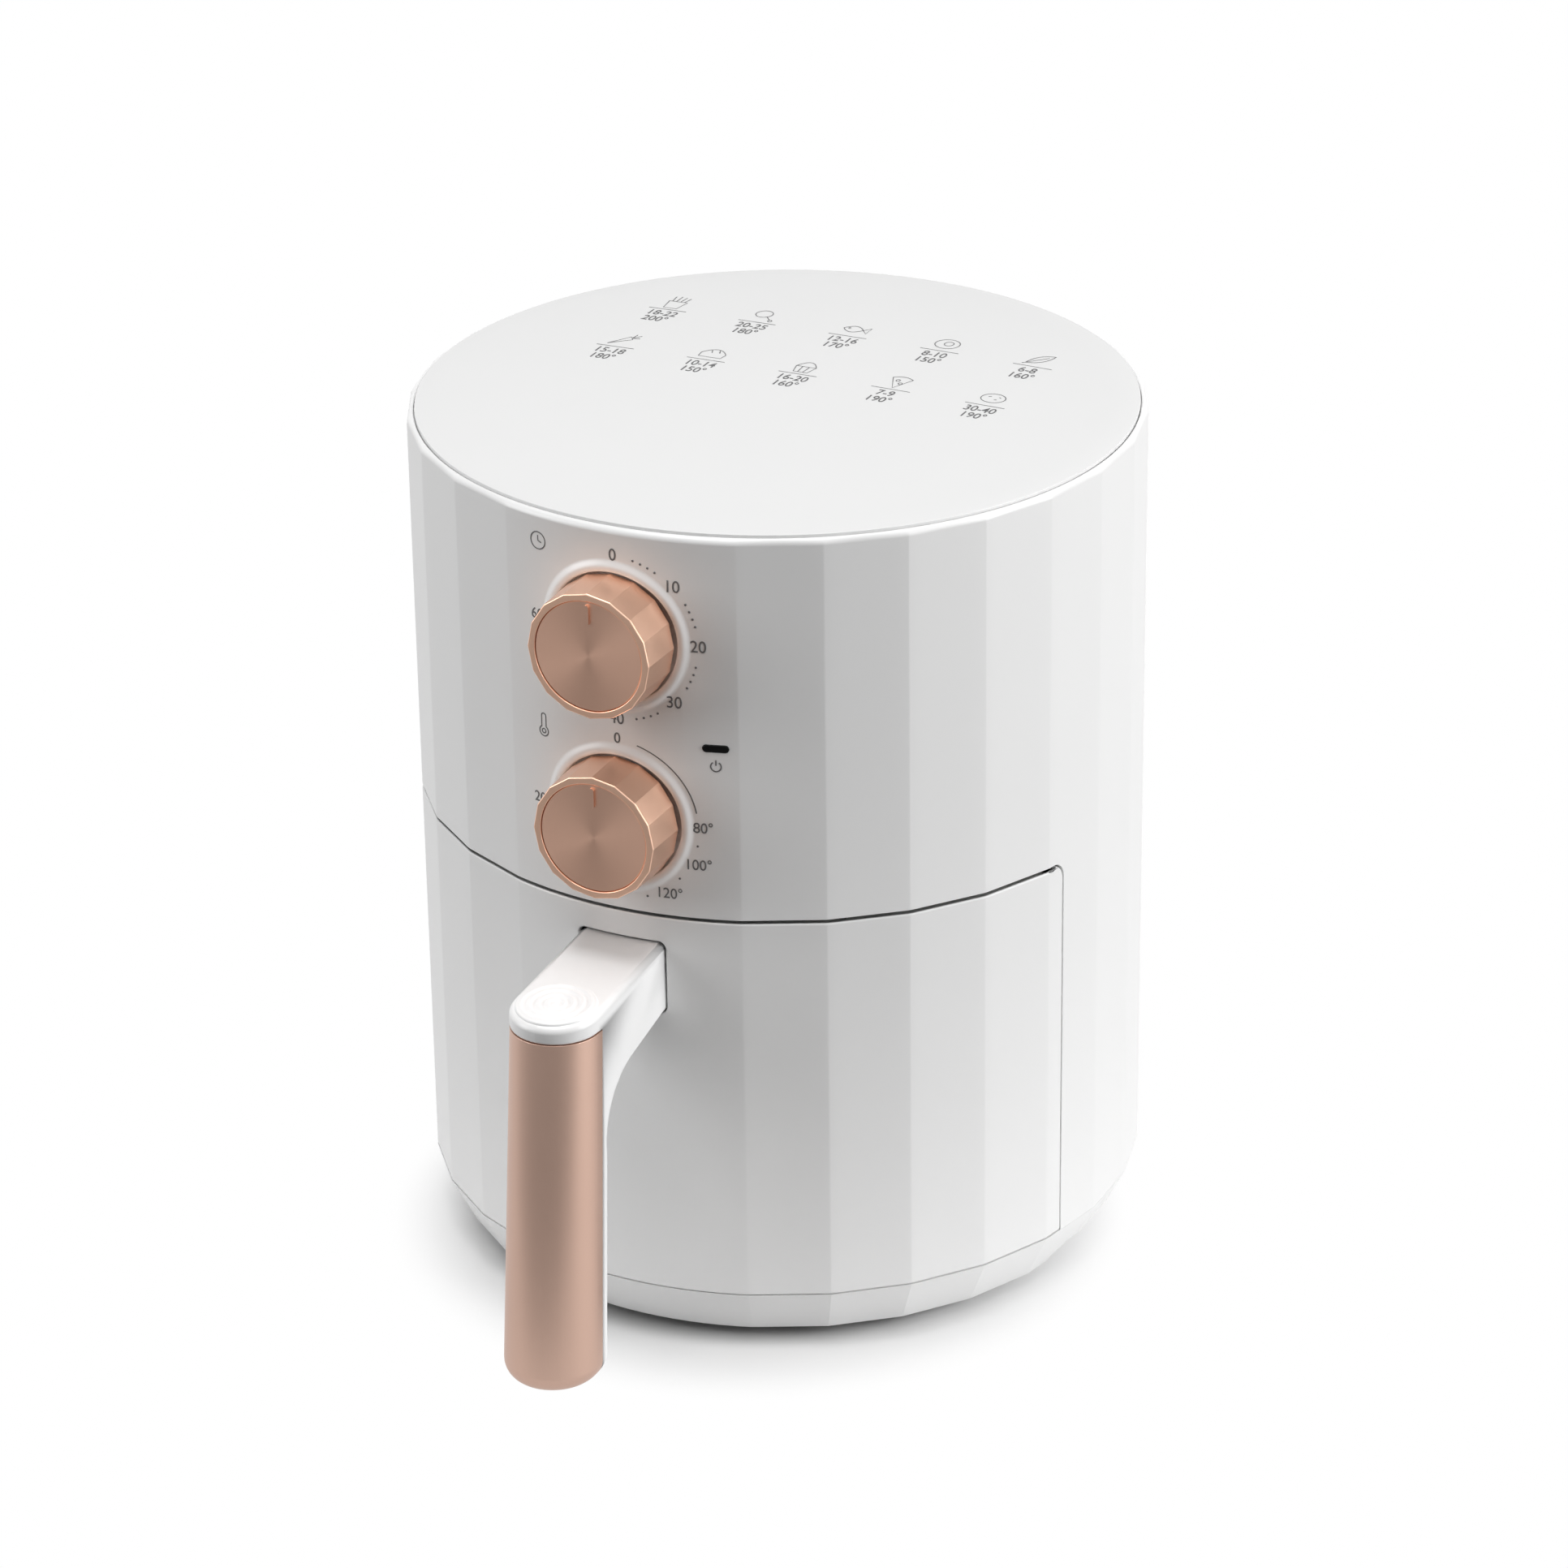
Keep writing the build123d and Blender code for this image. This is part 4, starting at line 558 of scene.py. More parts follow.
def makeKnobFace(dial, centre, back):
    radius, front = cap["radius"] - cap["gap"], cap["thickness"]
    profile = [(0, 0), (radius, 0), (radius, front - cap["edge"]), (radius - cap["edge"], front)]
    profile.append((0, front))
    bm = bmesh.new()
    spinProfile(bm, profile, cap["steps"])
    closeUp(bm)
    half = cap["pointerWidth"] / 2
    near = radius - cap["pointerInset"] - half
    far = near - cap["pointerLength"] + 2 * half
    pointer = arcPoints((0, near), half, 0, pi, cap["pointerSteps"])
    pointer += arcPoints((0, far), half, pi, 2 * pi, cap["pointerSteps"])
    raiseOutline(bm, pointer, front - cap["pointerSink"], cap["pointerHeight"] + cap["pointerSink"])
    turnToFront(bm, centre, back)
    closeUp(bm)
    spun = makeSpunFinish(dial + "_spun_face", spunLook, centre)
    piece = addPiece(dial + "_knob_face", bm, spun, dial + "_dial", "rose_brushed", dial + "_knob_cap")
    piece.data.set_sharp_from_angle(angle=plan["edgeAngle"])


for dial, centre, knobLow, knobHigh in dialPlaces:
    knobHeight = knobHigh.y - knobLow.y
    seat = knobHeight - cap["sink"] - cap["thickness"]
    makeCollar(dial, centre)
    makeKnob(dial, centre, knobHigh.y, knobHeight, seat)
    makeKnobFace(dial, centre, knobHigh.y - seat)
print("dials ready")


# handle: the arm with its round nose, its thumb pad, the white strip and the half-round grip
gripLow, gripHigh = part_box("grip_cover")
gripTop, gripBottom = gripHigh.z + arm["lipGap"], gripLow.z
gripLength = gripTop - gripBottom
topBack = arm["padReach"] - arm["backInset"]
noseReach = arm["padReach"] + arm["halfWidth"]
armSlope = arm["fall"] / (noseReach - bodyRadius)


def stripBack(height):
    return topBack + arm["lean"] * (gripTop - height) / gripLength


def armHeight(reach):
    return arm["rootTop"] - armSlope * (reach - bodyRadius)


# the arm's underside leaves the body straight and bends down into the strip's back
underStart = Vector((arm["bendReach"], arm["bendHeight"]))
underEnd = Vector((stripBack(arm["underHeight"]), arm["underHeight"]))
heading = (underStart - Vector((bodyRadius, arm["rootBottom"]))).normalized()
chord = underEnd - underStart
side = Vector((heading.y, -heading.x))
bendRadius = chord.length_squared / (2 * chord.dot(side))
bendCentre = underStart + side * bendRadius
startTurn = atan2(-side.y, -side.x)
endTurn = atan2(underEnd.y - bendCentre.y, underEnd.x - bendCentre.x)
armProfile = [(arm["rootReach"], arm["rootBottom"]), (bodyRadius, arm["rootBottom"])]
armProfile += arcPoints(tuple(bendCentre), bendRadius, startTurn, endTurn, arm["arcSteps"])
armProfile += [(stripBack(gripBottom), gripBottom), (stripBack(gripBottom) + arm["strip"], gripBottom)]
armProfile += [(topBack + arm["strip"], gripTop), (noseReach, gripTop), (noseReach, armHeight(noseReach))]
armProfile += [(arm["rootReach"], armHeight(arm["rootReach"]))]
bm = bmesh.new()
sidePlaces = [(-arm["halfWidth"], axisY - reach, height) for reach, height in armProfile]
sideFace = bm.faces.new([bm.verts.new(place) for place in sidePlaces])
swept = bmesh.ops.extrude_face_region(bm, geom=[sideFace], use_keep_orig=True)
bmesh.ops.translate(bm, verts=vertsIn(swept), vec=(2 * arm["halfWidth"], 0, 0))
closeUp(bm)


def sideEdges(bm, test):
    picked = [edge for edge in bm.edges if all(test(vert.co) for vert in edge.verts)]
    return [edge for edge in picked if abs(edge.verts[0].co.x - edge.verts[1].co.x) < pickSlack]


noseEdges = sideEdges(bm, lambda place: axisY - place.y > noseReach - pickSlack)
bevelEdges(bm, noseEdges, arm["halfWidth"] * arm["noseShare"], arm["noseSteps"])
endEdges = sideEdges(bm, lambda place: place.z < gripBottom + pickSlack)
bevelEdges(bm, endEdges, arm["endRound"], arm["endSteps"])
for vert in bm.verts:
    drop = max(gripTop - vert.co.z, 0) / gripLength
    vert.co.x *= 1 + drop * arm["flare"] / arm["halfWidth"]


def sharpEdges(bm, test):
    kept = []
    for edge in bm.edges:
        middle = (edge.verts[0].co + edge.verts[1].co) / 2
        isSharp = edge.is_convex and edge.calc_face_angle(0) > arm["sharpAngle"]
        if isSharp and test(axisY - middle.y, middle.z):
            kept.append(edge)
    return kept


def onTop(reach, height):
    return arm["rootReach"] + pickSlack < reach and height > armHeight(reach) - pickSlack


def onLip(reach, height):
    return abs(height - gripTop) < pickSlack and reach > topBack + arm["strip"] + pickSlack


def onBack(reach, height):
    stripFront = stripBack(height) + arm["strip"] - arm["stripMargin"]
    if height < gripTop + pickSlack and reach > stripFront:
        return False
    clearOfEnds = arm["rootReach"] + pickSlack < reach < noseReach - arm["noseMargin"]
    return clearOfEnds and height < armHeight(reach) - arm["topMargin"]


bevelEdges(bm, sharpEdges(bm, onTop), arm["edge"], arm["edgeSteps"])
bevelEdges(bm, sharpEdges(bm, onLip), arm["lipEdge"], arm["lipSteps"])
bevelEdges(bm, sharpEdges(bm, onBack), arm["backEdge"], arm["backSteps"])
closeUp(bm)

# thumb pad: fine rings that fade out towards its rounded edge
pad = {"radius": 0.0136, "rings": 4.5, "wave": 0.0003, "waveFade": 8, "lift": 0.0007, "sink": 0.0006,
       "edge": 0.0005, "shoulder": 0.0003, "shoulderShare": 0.7, "rows": 40, "steps": 72}
padProfile = []
for row in range(pad["rows"] + 1):
    share = row / pad["rows"]
    wave = pad["wave"] * cos(2 * pi * pad["rings"] * share)
    fade = smoothStep((1 - share) * pad["waveFade"])
    padProfile.append((pad["radius"] * share, pad["lift"] + wave * fade))
padEdge = pad["radius"] + pad["edge"]
padProfile += [(pad["radius"] + pad["shoulder"], pad["lift"] * pad["shoulderShare"]), (padEdge, 0)]
padProfile += [(padEdge, -pad["sink"]), (0, -pad["sink"])]
padShape = bmesh.new()
spinProfile(padShape, padProfile, pad["steps"])
closeUp(padShape)
padTilt = Matrix.Rotation(atan2(armSlope, 1), 4, "X")
padPlace = Matrix.Translation((0, axisY - arm["padReach"], armHeight(arm["padReach"])))
bmesh.ops.transform(padShape, matrix=padPlace @ padTilt, verts=padShape.verts[:])
joinShape(bm, padShape)
# the arm takes the lighter copy of the white plastic, painted light
handlePiece = addPiece("handle_arm", bm, finishes["handle_plastic_painted_light"], "drawer", "white_plastic",
                       "handle_body")
evenNormals(handlePiece)

# grip: a half-round outline at the top, drawn down along the strip and rounded at its end
grip = {"side": 0.0025, "rows": 6, "arcSteps": 40, "edge": 0.0003, "edgeAngle": radians(40),
        "edgeSteps": 2}
bm = bmesh.new()
gripStart = topBack + arm["strip"]
first = bm.verts.new((-arm["halfWidth"], axisY - gripStart, gripHigh.z))
second = bm.verts.new((-arm["halfWidth"], axisY - gripStart - grip["side"], gripHigh.z))
bm.edges.new((first, second))
arcCentre = (0, axisY - gripStart - grip["side"], gripHigh.z)
bmesh.ops.spin(bm, geom=[second], cent=arcCentre, axis=(0, 0, 1), angle=pi, steps=grip["arcSteps"])
third = max(bm.verts, key=lambda vert: (vert.co.x, -abs(vert.co.y - second.co.y)))
last = bm.verts.new((arm["halfWidth"], first.co.y, first.co.z))
bm.edges.new((third, last))
bm.edges.new((last, first))
loop = bm.edges[:]
straight = gripLength - arm["endRound"]
gripRows = [(gripTop - straight * row / grip["rows"], 0) for row in range(1, grip["rows"] + 1)]
for step in range(1, arm["endSteps"] + 1):
    turn = pi / 2 * step / arm["endSteps"]
    gripRows.append((gripBottom + arm["endRound"] * (1 - sin(turn)), arm["endRound"] * (1 - cos(turn))))
bmesh.ops.contextual_create(bm, geom=loop)
halfNow, startNow = arm["halfWidth"], gripStart
for height, inset in gripRows:
    loop = edgesIn(bmesh.ops.extrude_edge_only(bm, edges=loop))
    halfNext = arm["halfWidth"] + arm["flare"] * (gripTop - height) / gripLength - inset
    startNext = stripBack(height) + arm["strip"]
    for vert in {vert for edge in loop for vert in edge.verts}:
        ahead = axisY - vert.co.y - startNow
        beyond = max(ahead - grip["side"], 0) * halfNext / halfNow
        sideY = axisY - startNext - min(ahead, grip["side"])
        vert.co = Vector((vert.co.x * halfNext / halfNow, sideY - beyond, height))
    halfNow, startNow = halfNext, startNext
bmesh.ops.contextual_create(bm, geom=loop)
closeUp(bm)
gripPiece = addPiece("grip_shell", bm, finishes["rose_grip"], "drawer", "rose_metal", "grip_cover")
softEdges(gripPiece, grip["edge"], grip["edgeAngle"], grip["edgeSteps"])
print("handle ready")


# printed marks: numbers, dots, an arc and plain symbols, wrapped onto the surface that carries them
ink = {"thickness": 0.00004, "lift": 0.00005, "line": 0.00045, "lineResolution": 2, "number": 0.0061,
       "small": 0.0055, "squeeze": 0.94, "weight": 0.00002, "dotSides": 16, "ringSteps": 28,
       "span": 0.0006, "spanCuts": 4, "merge": 1e-8}


def flatMesh(curve, name):
    holder = bpy.data.objects.new(name, curve)
    bpy.context.scene.collection.objects.link(holder)
    graph = bpy.context.evaluated_depsgraph_get()
    mesh = bpy.data.meshes.new_from_object(holder.evaluated_get(graph))
    bpy.data.objects.remove(holder)
    bpy.data.curves.remove(curve)
    return mesh


def printText(bm, words, across, up, size, align="CENTER", squeeze=ink["squeeze"]):
    curve = bpy.data.curves.new("number", "FONT")
    curve.body = words
    curve.size = size
    curve.align_x = align
    curve.align_y = "CENTER"
    curve.extrude = ink["thickness"]
    curve.offset = ink["weight"]
    mesh = flatMesh(curve, "number")
    mesh.transform(Matrix.Translation((across, up, 0)) @ Matrix.Diagonal((squeeze, 1, 1, 1)))
    joinMesh(bm, mesh)


def printLine(bm, points, across, up, width=ink["line"], closed=False):
    curve = bpy.data.curves.new("stroke", "CURVE")
    curve.dimensions = "3D"
    curve.bevel_depth = width / 2
    curve.bevel_resolution = ink["lineResolution"]
    curve.use_fill_caps = True
    spline = curve.splines.new("POLY")
    spline.points.add(len(points) - 1)
    for spot, point in zip(spline.points, points):
        spot.co = (point[0], point[1], 0, 1)
    spline.use_cyclic_u = closed
    mesh = flatMesh(curve, "stroke")
    flatten = Matrix.Diagonal((1, 1, 2 * ink["thickness"] / width, 1))
    mesh.transform(Matrix.Translation((across, up, 0)) @ flatten)
    joinMesh(bm, mesh)


def printDot(bm, across, up, radius):
    matrix = Matrix.Translation((across, up, 0))
    bmesh.ops.create_cone(bm, cap_ends=True, segments=ink["dotSides"], radius1=radius, radius2=radius,
                          depth=2 * ink["thickness"], matrix=matrix)


def ringOf(radius, steps=ink["ringSteps"]):
    return arcPoints((0, 0), radius, 0, 2 * pi * (1 - 1 / steps), steps - 1)


# panel print: the numbers, dots and arc round the dials
marks = {"circle": 0.0298, "shift": 0.0008, "timerNumbers": 5, "minutesApart": 10, "timerStep": 45,
         "dotsBetween": 4, "dotsFrom": 0.2, "dotsSpan": 0.6, "dot": 0.00042, "sideAcross": -0.0304,
         "sixtyUp": 0.0018, "degreeReach": 0.0275, "degrees": {"80°": 0, "100°": -28, "120°": -60},
         "degreeDots": (-13, -41, -69), "arcReach": 0.0294, "arcStart": 74, "arcEnd": 11, "arcSteps": 24}


def onDial(turn, reach=marks["circle"]):
    return reach * cos(turn), marks["circle"] * sin(turn)


bm = bmesh.new()
timerUp, temperatureUp = (place[1].z for place in dialPlaces)
lastNumber = marks["timerNumbers"] - 1
for number in range(marks["timerNumbers"]):
    turn = radians(90 - number * marks["timerStep"])
    across, up = onDial(turn)
    minutes = str(number * marks["minutesApart"])
    printText(bm, minutes, marks["shift"] + across, timerUp + up, ink["number"])
    dots = marks["dotsBetween"] if number < lastNumber else 0
    for dot in range(1, dots + 1):
        share = marks["dotsFrom"] + marks["dotsSpan"] * dot / (dots + 1)
        across, up = onDial(turn - radians(marks["timerStep"]) * share)
        printDot(bm, marks["shift"] + across, timerUp + up, marks["dot"])
printText(bm, "60", marks["sideAcross"], timerUp + marks["sixtyUp"], ink["small"])
printText(bm, "0", marks["shift"], temperatureUp + marks["circle"], ink["small"])
printText(bm, "200", marks["sideAcross"], temperatureUp, ink["small"])
for words, angle in marks["degrees"].items():
    across, up = onDial(radians(angle), marks["degreeReach"])
    printText(bm, words, across, temperatureUp + up, ink["small"], "LEFT")
for angle in marks["degreeDots"]:
    across, up = onDial(radians(angle))
    printDot(bm, across, temperatureUp + up, marks["dot"])
arcEnds = radians(marks["arcStart"]), radians(marks["arcEnd"])
printLine(bm, arcPoints((0, 0), marks["arcReach"], *arcEnds, marks["arcSteps"]), 0, temperatureUp)

# a clock, a thermometer, and the power sign under the indicator; the gaps are half angles at the top
signs = {"across": -0.029, "clockUp": 0.029, "clockRing": 0.0031, "longHand": 0.0019,
         "shortHand": (0.0014, -0.0006), "glassUp": 0.028, "bulbDrop": 0.0022, "bulb": 0.0019,
         "bulbGap": 30, "bulbSteps": 20, "stemRise": 0.0034, "stem": 0.00095, "stemSteps": 8,
         "filling": 0.0008, "fillingSteps": 14, "powerDrop": 0.0066, "power": 0.0018, "powerGap": 35,
         "powerSteps": 22, "powerStroke": (0.0004, 0.0024)}
clockUp = timerUp + signs["clockUp"]
printLine(bm, ringOf(signs["clockRing"]), signs["across"], clockUp, closed=True)
printLine(bm, [(0, signs["longHand"]), (0, 0), signs["shortHand"]], signs["across"], clockUp)
glassUp = temperatureUp + signs["glassUp"]
bulbEnds = radians(90 - signs["bulbGap"]), radians(signs["bulbGap"] - 270)
glass = arcPoints((0, -signs["bulbDrop"]), signs["bulb"], *bulbEnds, signs["bulbSteps"])
glass += arcPoints((0, signs["stemRise"]), signs["stem"], pi, 0, signs["stemSteps"])
printLine(bm, glass, signs["across"], glassUp, closed=True)
filling = ringOf(signs["filling"], signs["fillingSteps"])
printLine(bm, filling, signs["across"], glassUp - signs["bulbDrop"], closed=True)
lensLow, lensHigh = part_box("indicator_lens")
lensMiddle = (lensLow + lensHigh) / 2
lensAcross = turnOf(lensMiddle) * bodyRadius
powerUp = lensMiddle.z - signs["powerDrop"]
powerEnds = radians(90 + signs["powerGap"]), radians(450 - signs["powerGap"])
printLine(bm, arcPoints((0, 0), signs["power"], *powerEnds, signs["powerSteps"]), lensAcross, powerUp)
printLine(bm, [(0, up) for up in signs["powerStroke"]], lensAcross, powerUp)

longEdges = [edge for edge in bm.edges if edge.calc_length() > ink["span"]]
bmesh.ops.subdivide_edges(bm, edges=longEdges, cuts=ink["spanCuts"])
for vert in bm.verts:
    vert.co.z += max(collarRise(hypot(vert.co.x, vert.co.y - place[1].z)) for place in dialPlaces)
wrapOnPanel(bm, 0, ink["lift"])
closeUp(bm, ink["merge"])
printPiece = addPiece("dial_print", bm, finishes["print_ink"], "housing", None)
print("panel print", len(printPiece.data.polygons), "faces")


# cover print: plain food symbols in two rows, each over a cooking time and a temperature
def bow(first, last, bulge, steps=12):
    run = Vector(last) - Vector(first)
    side = Vector((-run.y, run.x)).normalized() * 4 * bulge
    shares = [step / steps for step in range(steps + 1)]
    return [tuple(Vector(first) + run * share + side * share * (1 - share)) for share in shares]


def oval(centre, wide, high, steps=24):
    turns = [2 * pi * step / steps for step in range(steps + 1)]
    return [(centre[0] + wide * cos(turn), centre[1] + high * sin(turn)) for turn in turns]


symbols = {
    "fries": [[(-3, 1), (-2.2, -3.5), (2.2, -3.5), (3, 1), (-3, 1)], [(-2, 1), (-2.5, 4)],
              [(-0.7, 1), (-0.7, 4.4)], [(0.7, 1), (1, 4.1)], [(2, 1), (2.6, 3.7)]],
    "drumstick": [oval((-1, 1), 2.6, 2.2), [(0.9, -0.6), (2.7, -2.4)], oval((3.1, -2.8), 0.6, 0.6, 10)],
    "fish": [bow((-4, 0), (2.4, 0), 1.9), bow((-4, 0), (2.4, 0), -1.9),
             [(2.4, 0), (4.2, 1.8), (4.2, -1.8), (2.4, 0)], oval((-2.3, 0.4), 0.3, 0.3, 8)],
    "egg": [oval((0, 0), 3.8, 2.9), oval((0.4, 0.2), 1.4, 1.3, 16)],
    "leaf": [bow((-3.2, -2.8), (3.4, 3), 1.7), bow((-3.2, -2.8), (3.4, 3), -1.7), [(-4, -3.5), (2, 1.7)]],
    "carrot": [[(-3.6, -3.2), (0.8, 2.2), (2.3, 0.6), (-3.6, -3.2)], [(1.6, 1.4), (3.6, 3.4)],
               [(1.6, 1.4), (1.9, 3.8)], [(1.6, 1.4), (4, 1.8)]],
    "loaf": [bow((-4, -0.6), (4, -0.6), 2.6), [(-4, -0.6), (-3.6, -2.9), (3.6, -2.9), (4, -0.6)],
             [(-1.6, 1.4), (-0.8, -0.2)], [(0.8, 1.6), (1.6, 0)]],
    "muffin": [bow((-3.2, 0), (3.2, 0), 2.8), [(-3.2, 0), (-2.2, -3.4), (2.2, -3.4), (3.2, 0), (-3.2, 0)],
               [(-0.8, -3.4), (-1.1, 0)], [(0.8, -3.4), (1.1, 0)]],
    "slice": [[(-3.2, 2.2), (0, -3.8), (3.2, 2.2)], bow((-3.2, 2.2), (3.2, 2.2), 1),
              oval((-0.8, 0.8), 0.6, 0.6, 10), oval((0.8, -0.8), 0.6, 0.6, 10)],
    "potato": [oval((0, 0), 3.7, 2.6), [(-1.8, 0.6), (-1, 0.9)], [(0.6, -0.8), (1.4, -0.6)],
               [(1.4, 1), (2, 0.7)]],
}
chart = {"columns": 5, "pitch": 0.036, "firstRow": 0.066, "rowPitch": 0.042, "unit": 0.0012,
         "rise": 0.0016, "rule": 0.0074, "ruleHalf": 0.0074, "time": 0.0118, "heat": 0.018, "size": 0.0066,
         "squeeze": 0.78, "line": 0.00036}
cookingNumbers = (("18-22", 200), ("20-25", 180), ("12-16", 170), ("8-10", 150), ("6-8", 160),
                  ("15-18", 180), ("10-14", 150), ("16-20", 160), ("7-9", 190), ("30-40", 190))
bm = bmesh.new()
for index, (strokes, numbers) in enumerate(zip(symbols.values(), cookingNumbers)):
    row, column = divmod(index, chart["columns"])
    across = (column - (chart["columns"] - 1) / 2) * chart["pitch"]
    up = chart["firstRow"] - row * chart["rowPitch"]
    for stroke in strokes:
        points = [(x * chart["unit"], y * chart["rise"]) for x, y in stroke]
        printLine(bm, points, across, up, chart["line"])
    ruleEnds = [(-chart["ruleHalf"], 0), (chart["ruleHalf"], 0)]
    printLine(bm, ruleEnds, across, up - chart["rule"], chart["line"])
    for words, drop in ((numbers[0], chart["time"]), (str(numbers[1]) + "°", chart["heat"])):
        printText(bm, words, across, up - drop, chart["size"], squeeze=chart["squeeze"])
for vert in bm.verts:
    reach = hypot(vert.co.x, vert.co.y)
    vert.co = Vector((vert.co.x, axisY + vert.co.y, crownHeight(reach) + vert.co.z + ink["lift"]))
closeUp(bm, ink["merge"])
chartPiece = addPiece("cover_print", bm, finishes["print_ink"], "housing", None)
print("cover print", len(chartPiece.data.polygons), "faces")


# indicator: a dark glossy window with a rounded face
lens = {"length": 0.0094, "width": 0.003, "proud": 0.0003, "depth": 0.0012, "steps": 12, "edge": 0.00045,
        "edgeSteps": 4, "sharpAngle": radians(40)}
bm = bmesh.new()
half = lens["width"] / 2
run = lens["length"] / 2 - half
pill = arcPoints((run, 0), half, -pi / 2, pi / 2, lens["steps"])
pill += arcPoints((-run, 0), half, pi / 2, 3 * pi / 2, lens["steps"])
raiseOutline(bm, pill, -lens["depth"], lens["depth"] + lens["proud"])
frontEdges = [edge for edge in bm.edges if all(vert.co.z > 0 for vert in edge.verts)]
bevelEdges(bm, frontEdges, lens["edge"], lens["edgeSteps"])
closeUp(bm)
for vert in bm.verts:
    vert.co.x += lensAcross
wrapOnPanel(bm, lensMiddle.z)
closeUp(bm)
lensPiece = addPiece("indicator_window", bm, finishes["dark_lens"], "housing", "dark_lens",
                     "indicator_lens")
lensPiece.data.set_sharp_from_angle(angle=lens["sharpAngle"])
print("indicator window", len(lensPiece.data.polygons), "faces")


# carried-over solids get the finish that has their slot's name, and else plain steel
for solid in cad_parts.values():
    slotName = solid.material_slots[0].material.name.split(".")[0]
    solid.material_slots[0].material = finishes.get(slotName, finishes["sheet_steel"])
print("solids dressed", len(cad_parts))


# studio: pale floor, soft boxes, a dark card in front, and the camera
def mathOf(tree, operation, first, second):
    made = tree.nodes.new("ShaderNodeMath")
    made.operation = operation
    tree.links.new(first, made.inputs[0])
    tree.links.new(second, made.inputs[1])
    return made.outputs[0]


# rays that bring a thing to the eye, straight, mirrored or through glass, and not those that light it
def seenRays(tree):
    path = tree.nodes.new("ShaderNodeLightPath")
    direct = mathOf(tree, "MAXIMUM", path.outputs["Is Camera Ray"], path.outputs["Is Glossy Ray"])
    return mathOf(tree, "MAXIMUM", direct, path.outputs["Is Transmission Ray"])


# the floor's colour is darkened under and beside the body, a painted contact shadow added to the real one,
# and it fades to plain white for the eye; further out it is dark for bounced light alone
stage = {"floor": 6.0, "whiteFrom": 0.093, "whiteTo": 0.137, "paintedShadowFrom": 0.083, "paintedShadowTo": 0.102,
         "paintedShadowTone": 0.42, "paleTo": 0.18, "darkFrom": 0.4, "paleTone": 0.76, "darkTone": 0.12,
         "shadowShift": 0.03, "shadowTurn": 4, "skyLight": 0.015}
floorFinish = bpy.data.materials.new("pale_floor")
floorFinish.use_nodes = True
tree = floorFinish.node_tree
tree.nodes.clear()
output, diffuse, glow, both = addNodes(tree, "ShaderNodeOutputMaterial", "ShaderNodeBsdfDiffuse",
                                       "ShaderNodeEmission", "ShaderNodeMixShader")
away = reachFrom(tree, -around(radians(stage["shadowTurn"]), stage["shadowShift"], 0))
pale = rampOf(tree, away, stage["paleTo"], stage["darkFrom"], stage["paleTone"], stage["darkTone"],
              "SMOOTHSTEP")
# painted shadow: the floor's own colour darkens close to the body
paintedShadow = rampOf(tree, away, stage["paintedShadowFrom"], stage["paintedShadowTo"], stage["paintedShadowTone"], 1,
                 "SMOOTHSTEP")
whiteness = rampOf(tree, away, stage["whiteFrom"], stage["whiteTo"], 0, 1, "SMOOTHSTEP")
tree.links.new(mathOf(tree, "MULTIPLY", pale, paintedShadow), diffuse.inputs["Color"])
tree.links.new(mathOf(tree, "MULTIPLY", seenRays(tree), whiteness), both.inputs[0])
tree.links.new(diffuse.outputs[0], both.inputs[1])
tree.links.new(glow.outputs[0], both.inputs[2])
tree.links.new(both.outputs[0], output.inputs["Surface"])
floorShape = bmesh.new()
bmesh.ops.create_grid(floorShape, x_segments=1, y_segments=1, size=stage["floor"])
floorPiece = newObject("floor", floorShape, floorFinish)

# the surroundings look white and light the object only faintly
world = bpy.data.worlds.new("studio")
bpy.context.scene.world = world
world.use_nodes = True
tree = world.node_tree
tree.nodes.clear()
output, sky = addNodes(tree, "ShaderNodeOutputWorld", "ShaderNodeBackground")
sky.inputs["Color"].default_value = (1, 1, 1, 1)
tree.links.new(rampOf(tree, seenRays(tree), 0, 1, stage["skyLight"], 1), sky.inputs["Strength"])
tree.links.new(sky.outputs[0], output.inputs["Surface"])

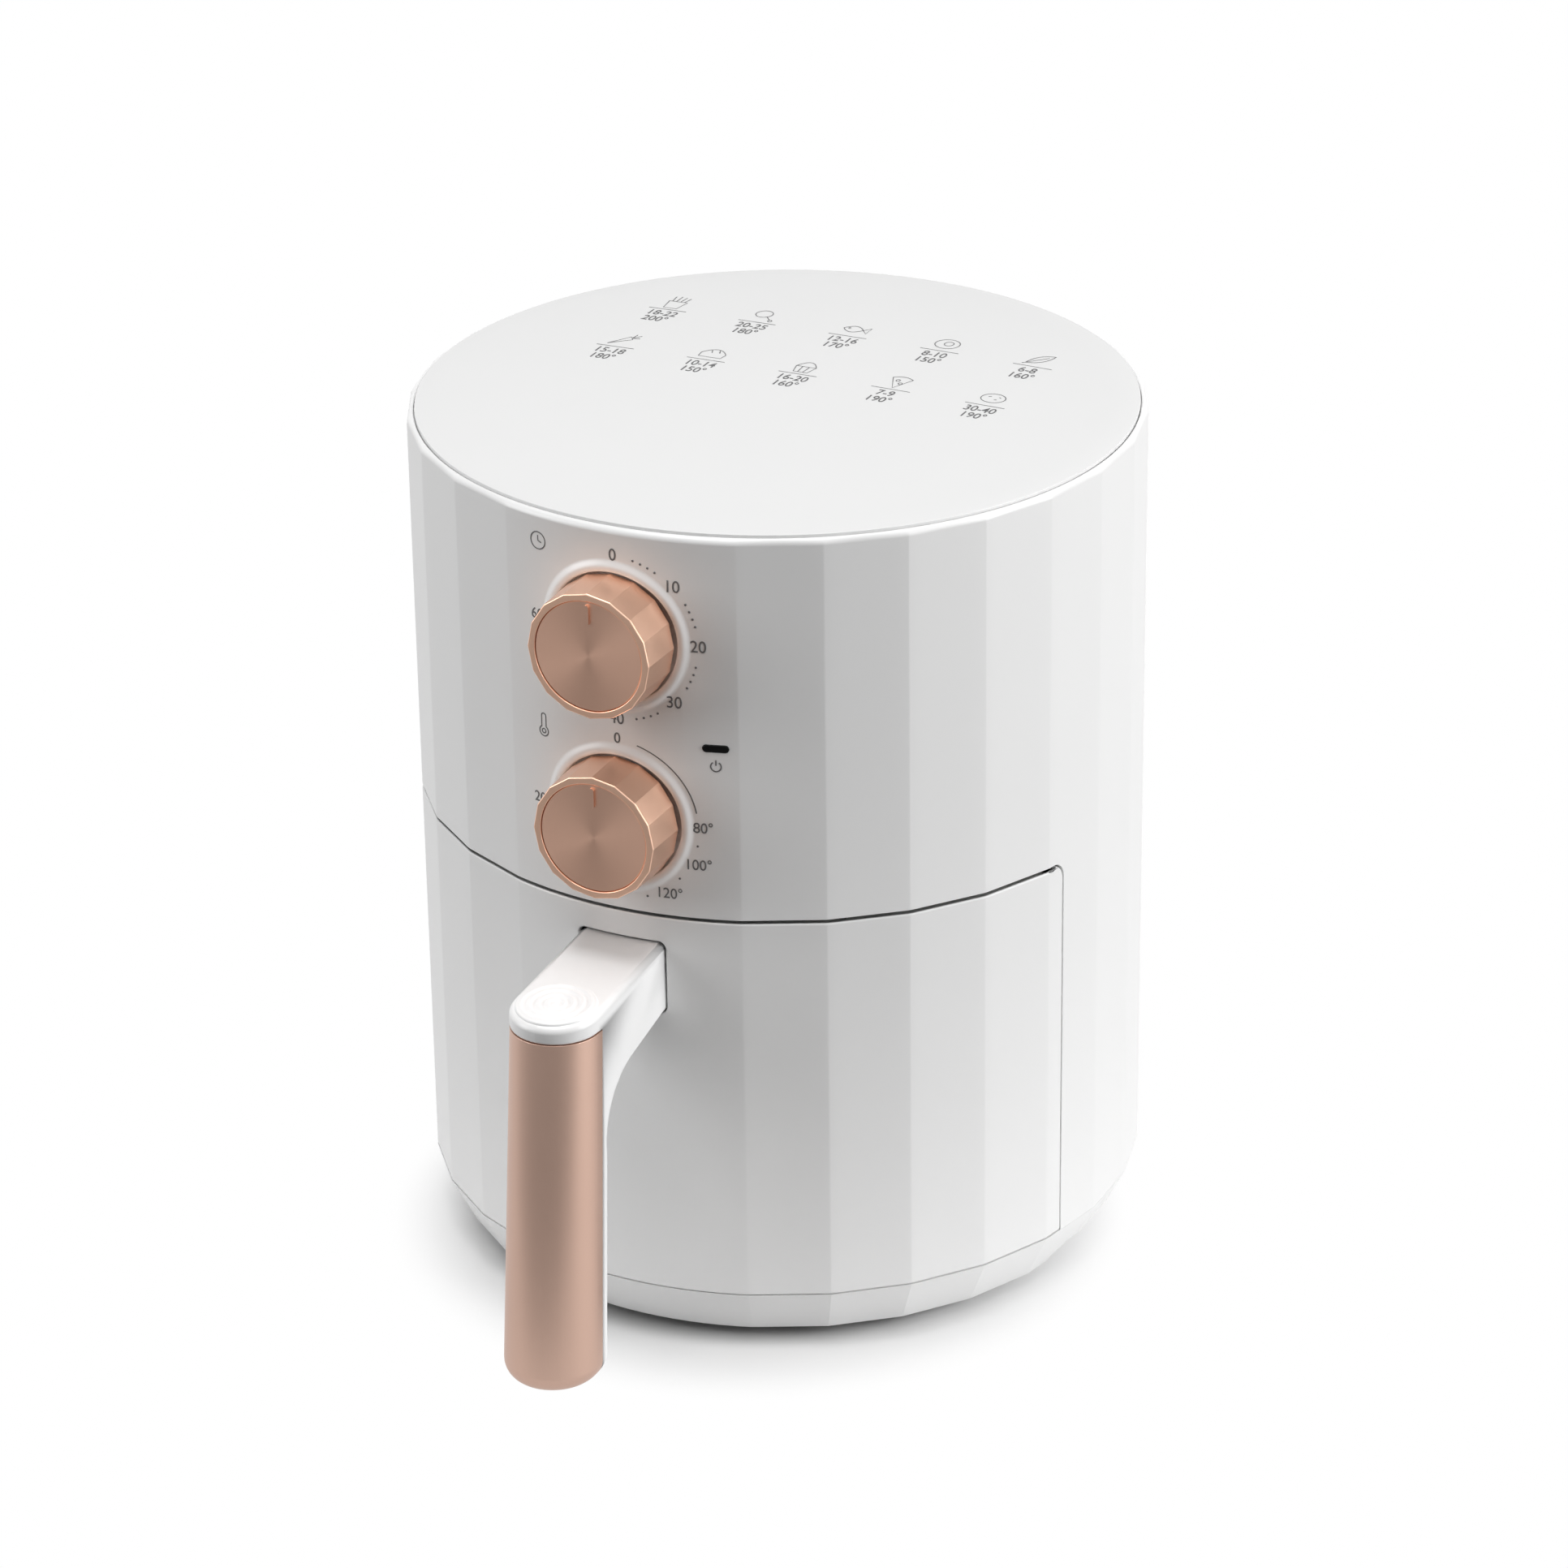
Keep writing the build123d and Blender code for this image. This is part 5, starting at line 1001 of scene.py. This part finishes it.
bodyMiddle = Vector((0, axisY, bodyTop / 2))
softBoxes = {
    "right": {"turn": 92, "reach": 1.5, "height": 0.6, "size": (0.8, 1.1), "level": 7.3},
    "left": {"turn": -53, "reach": 1.5, "height": 0.75, "size": (0.7, 1.0), "level": 5.2},
    "back": {"turn": 185, "reach": 1.6, "height": 0.5, "size": (1.2, 0.9), "level": 1.2},
    "top": {"turn": 0, "reach": 0.2, "height": 1.6, "size": (0.8, 0.8), "level": 7.0},
}
for name, box in softBoxes.items():
    light = bpy.data.lights.new(name + "_soft_box", "AREA")
    light.shape = "RECTANGLE"
    light.size, light.size_y = box["size"]
    light.energy = box["level"] * pi * box["size"][0] * box["size"][1]
    lamp = bpy.data.objects.new(name + "_soft_box", light)
    bpy.context.scene.collection.objects.link(lamp)
    spot = around(radians(box["turn"]), box["reach"], box["height"])
    lamp.location = spot
    lamp.visible_glossy = name != "back"
    lamp.rotation_euler = (bodyMiddle - spot).to_track_quat("-Z", "Y").to_euler()

# the dark card shows only as a reflection
card = {"near": 0.30, "far": 1.4, "halfWidth": 0.8, "lift": 0.0015, "tone": 0.3, "roughness": 0.9}
cardFinish, tree, shader = newFinish("dark_card")
shader.inputs["Base Color"].default_value = (card["tone"], card["tone"], card["tone"], 1)
shader.inputs["Roughness"].default_value = card["roughness"]
cardShape = bmesh.new()
cardPlace = Matrix.Translation((0, axisY - (card["near"] + card["far"]) / 2, card["lift"]))
cardSize = Matrix.Diagonal((card["halfWidth"], (card["far"] - card["near"]) / 2, 1, 1))
bmesh.ops.create_grid(cardShape, x_segments=1, y_segments=1, size=1, matrix=cardPlace @ cardSize)
cardPiece = newObject("dark_card", cardShape, cardFinish)
cardPiece.visible_camera = False
cardPiece.visible_shadow = False
cardPiece.visible_diffuse = False

view = {"azimuth": 25.70, "elevation": 25.23, "distance": 2.0686, "aimHeight": 0.1598, "aimAcross": 0.0005,
        "roll": -0.0138, "lens": 131.4, "sensor": 36, "clipEnd": 50}
cameraData = bpy.data.cameras.new("camera")
cameraData.lens = view["lens"]
cameraData.sensor_width = view["sensor"]
cameraData.clip_end = view["clipEnd"]
camera = bpy.data.objects.new("camera", cameraData)
bpy.context.scene.collection.objects.link(camera)
aim = Vector((view["aimAcross"], axisY, view["aimHeight"]))
azimuth, elevation = radians(view["azimuth"]), radians(view["elevation"])
towards = Vector((sin(azimuth) * cos(elevation), -cos(azimuth) * cos(elevation), sin(elevation)))
turned = (-towards).to_track_quat("-Z", "Y").to_matrix().to_4x4()
cameraPlace = Matrix.Translation(aim + towards * view["distance"])
camera.matrix_world = cameraPlace @ turned @ Matrix.Rotation(view["roll"], 4, "Z")
bpy.context.scene.camera = camera
bpy.context.scene.view_settings.view_transform = "Standard"
print("studio ready")
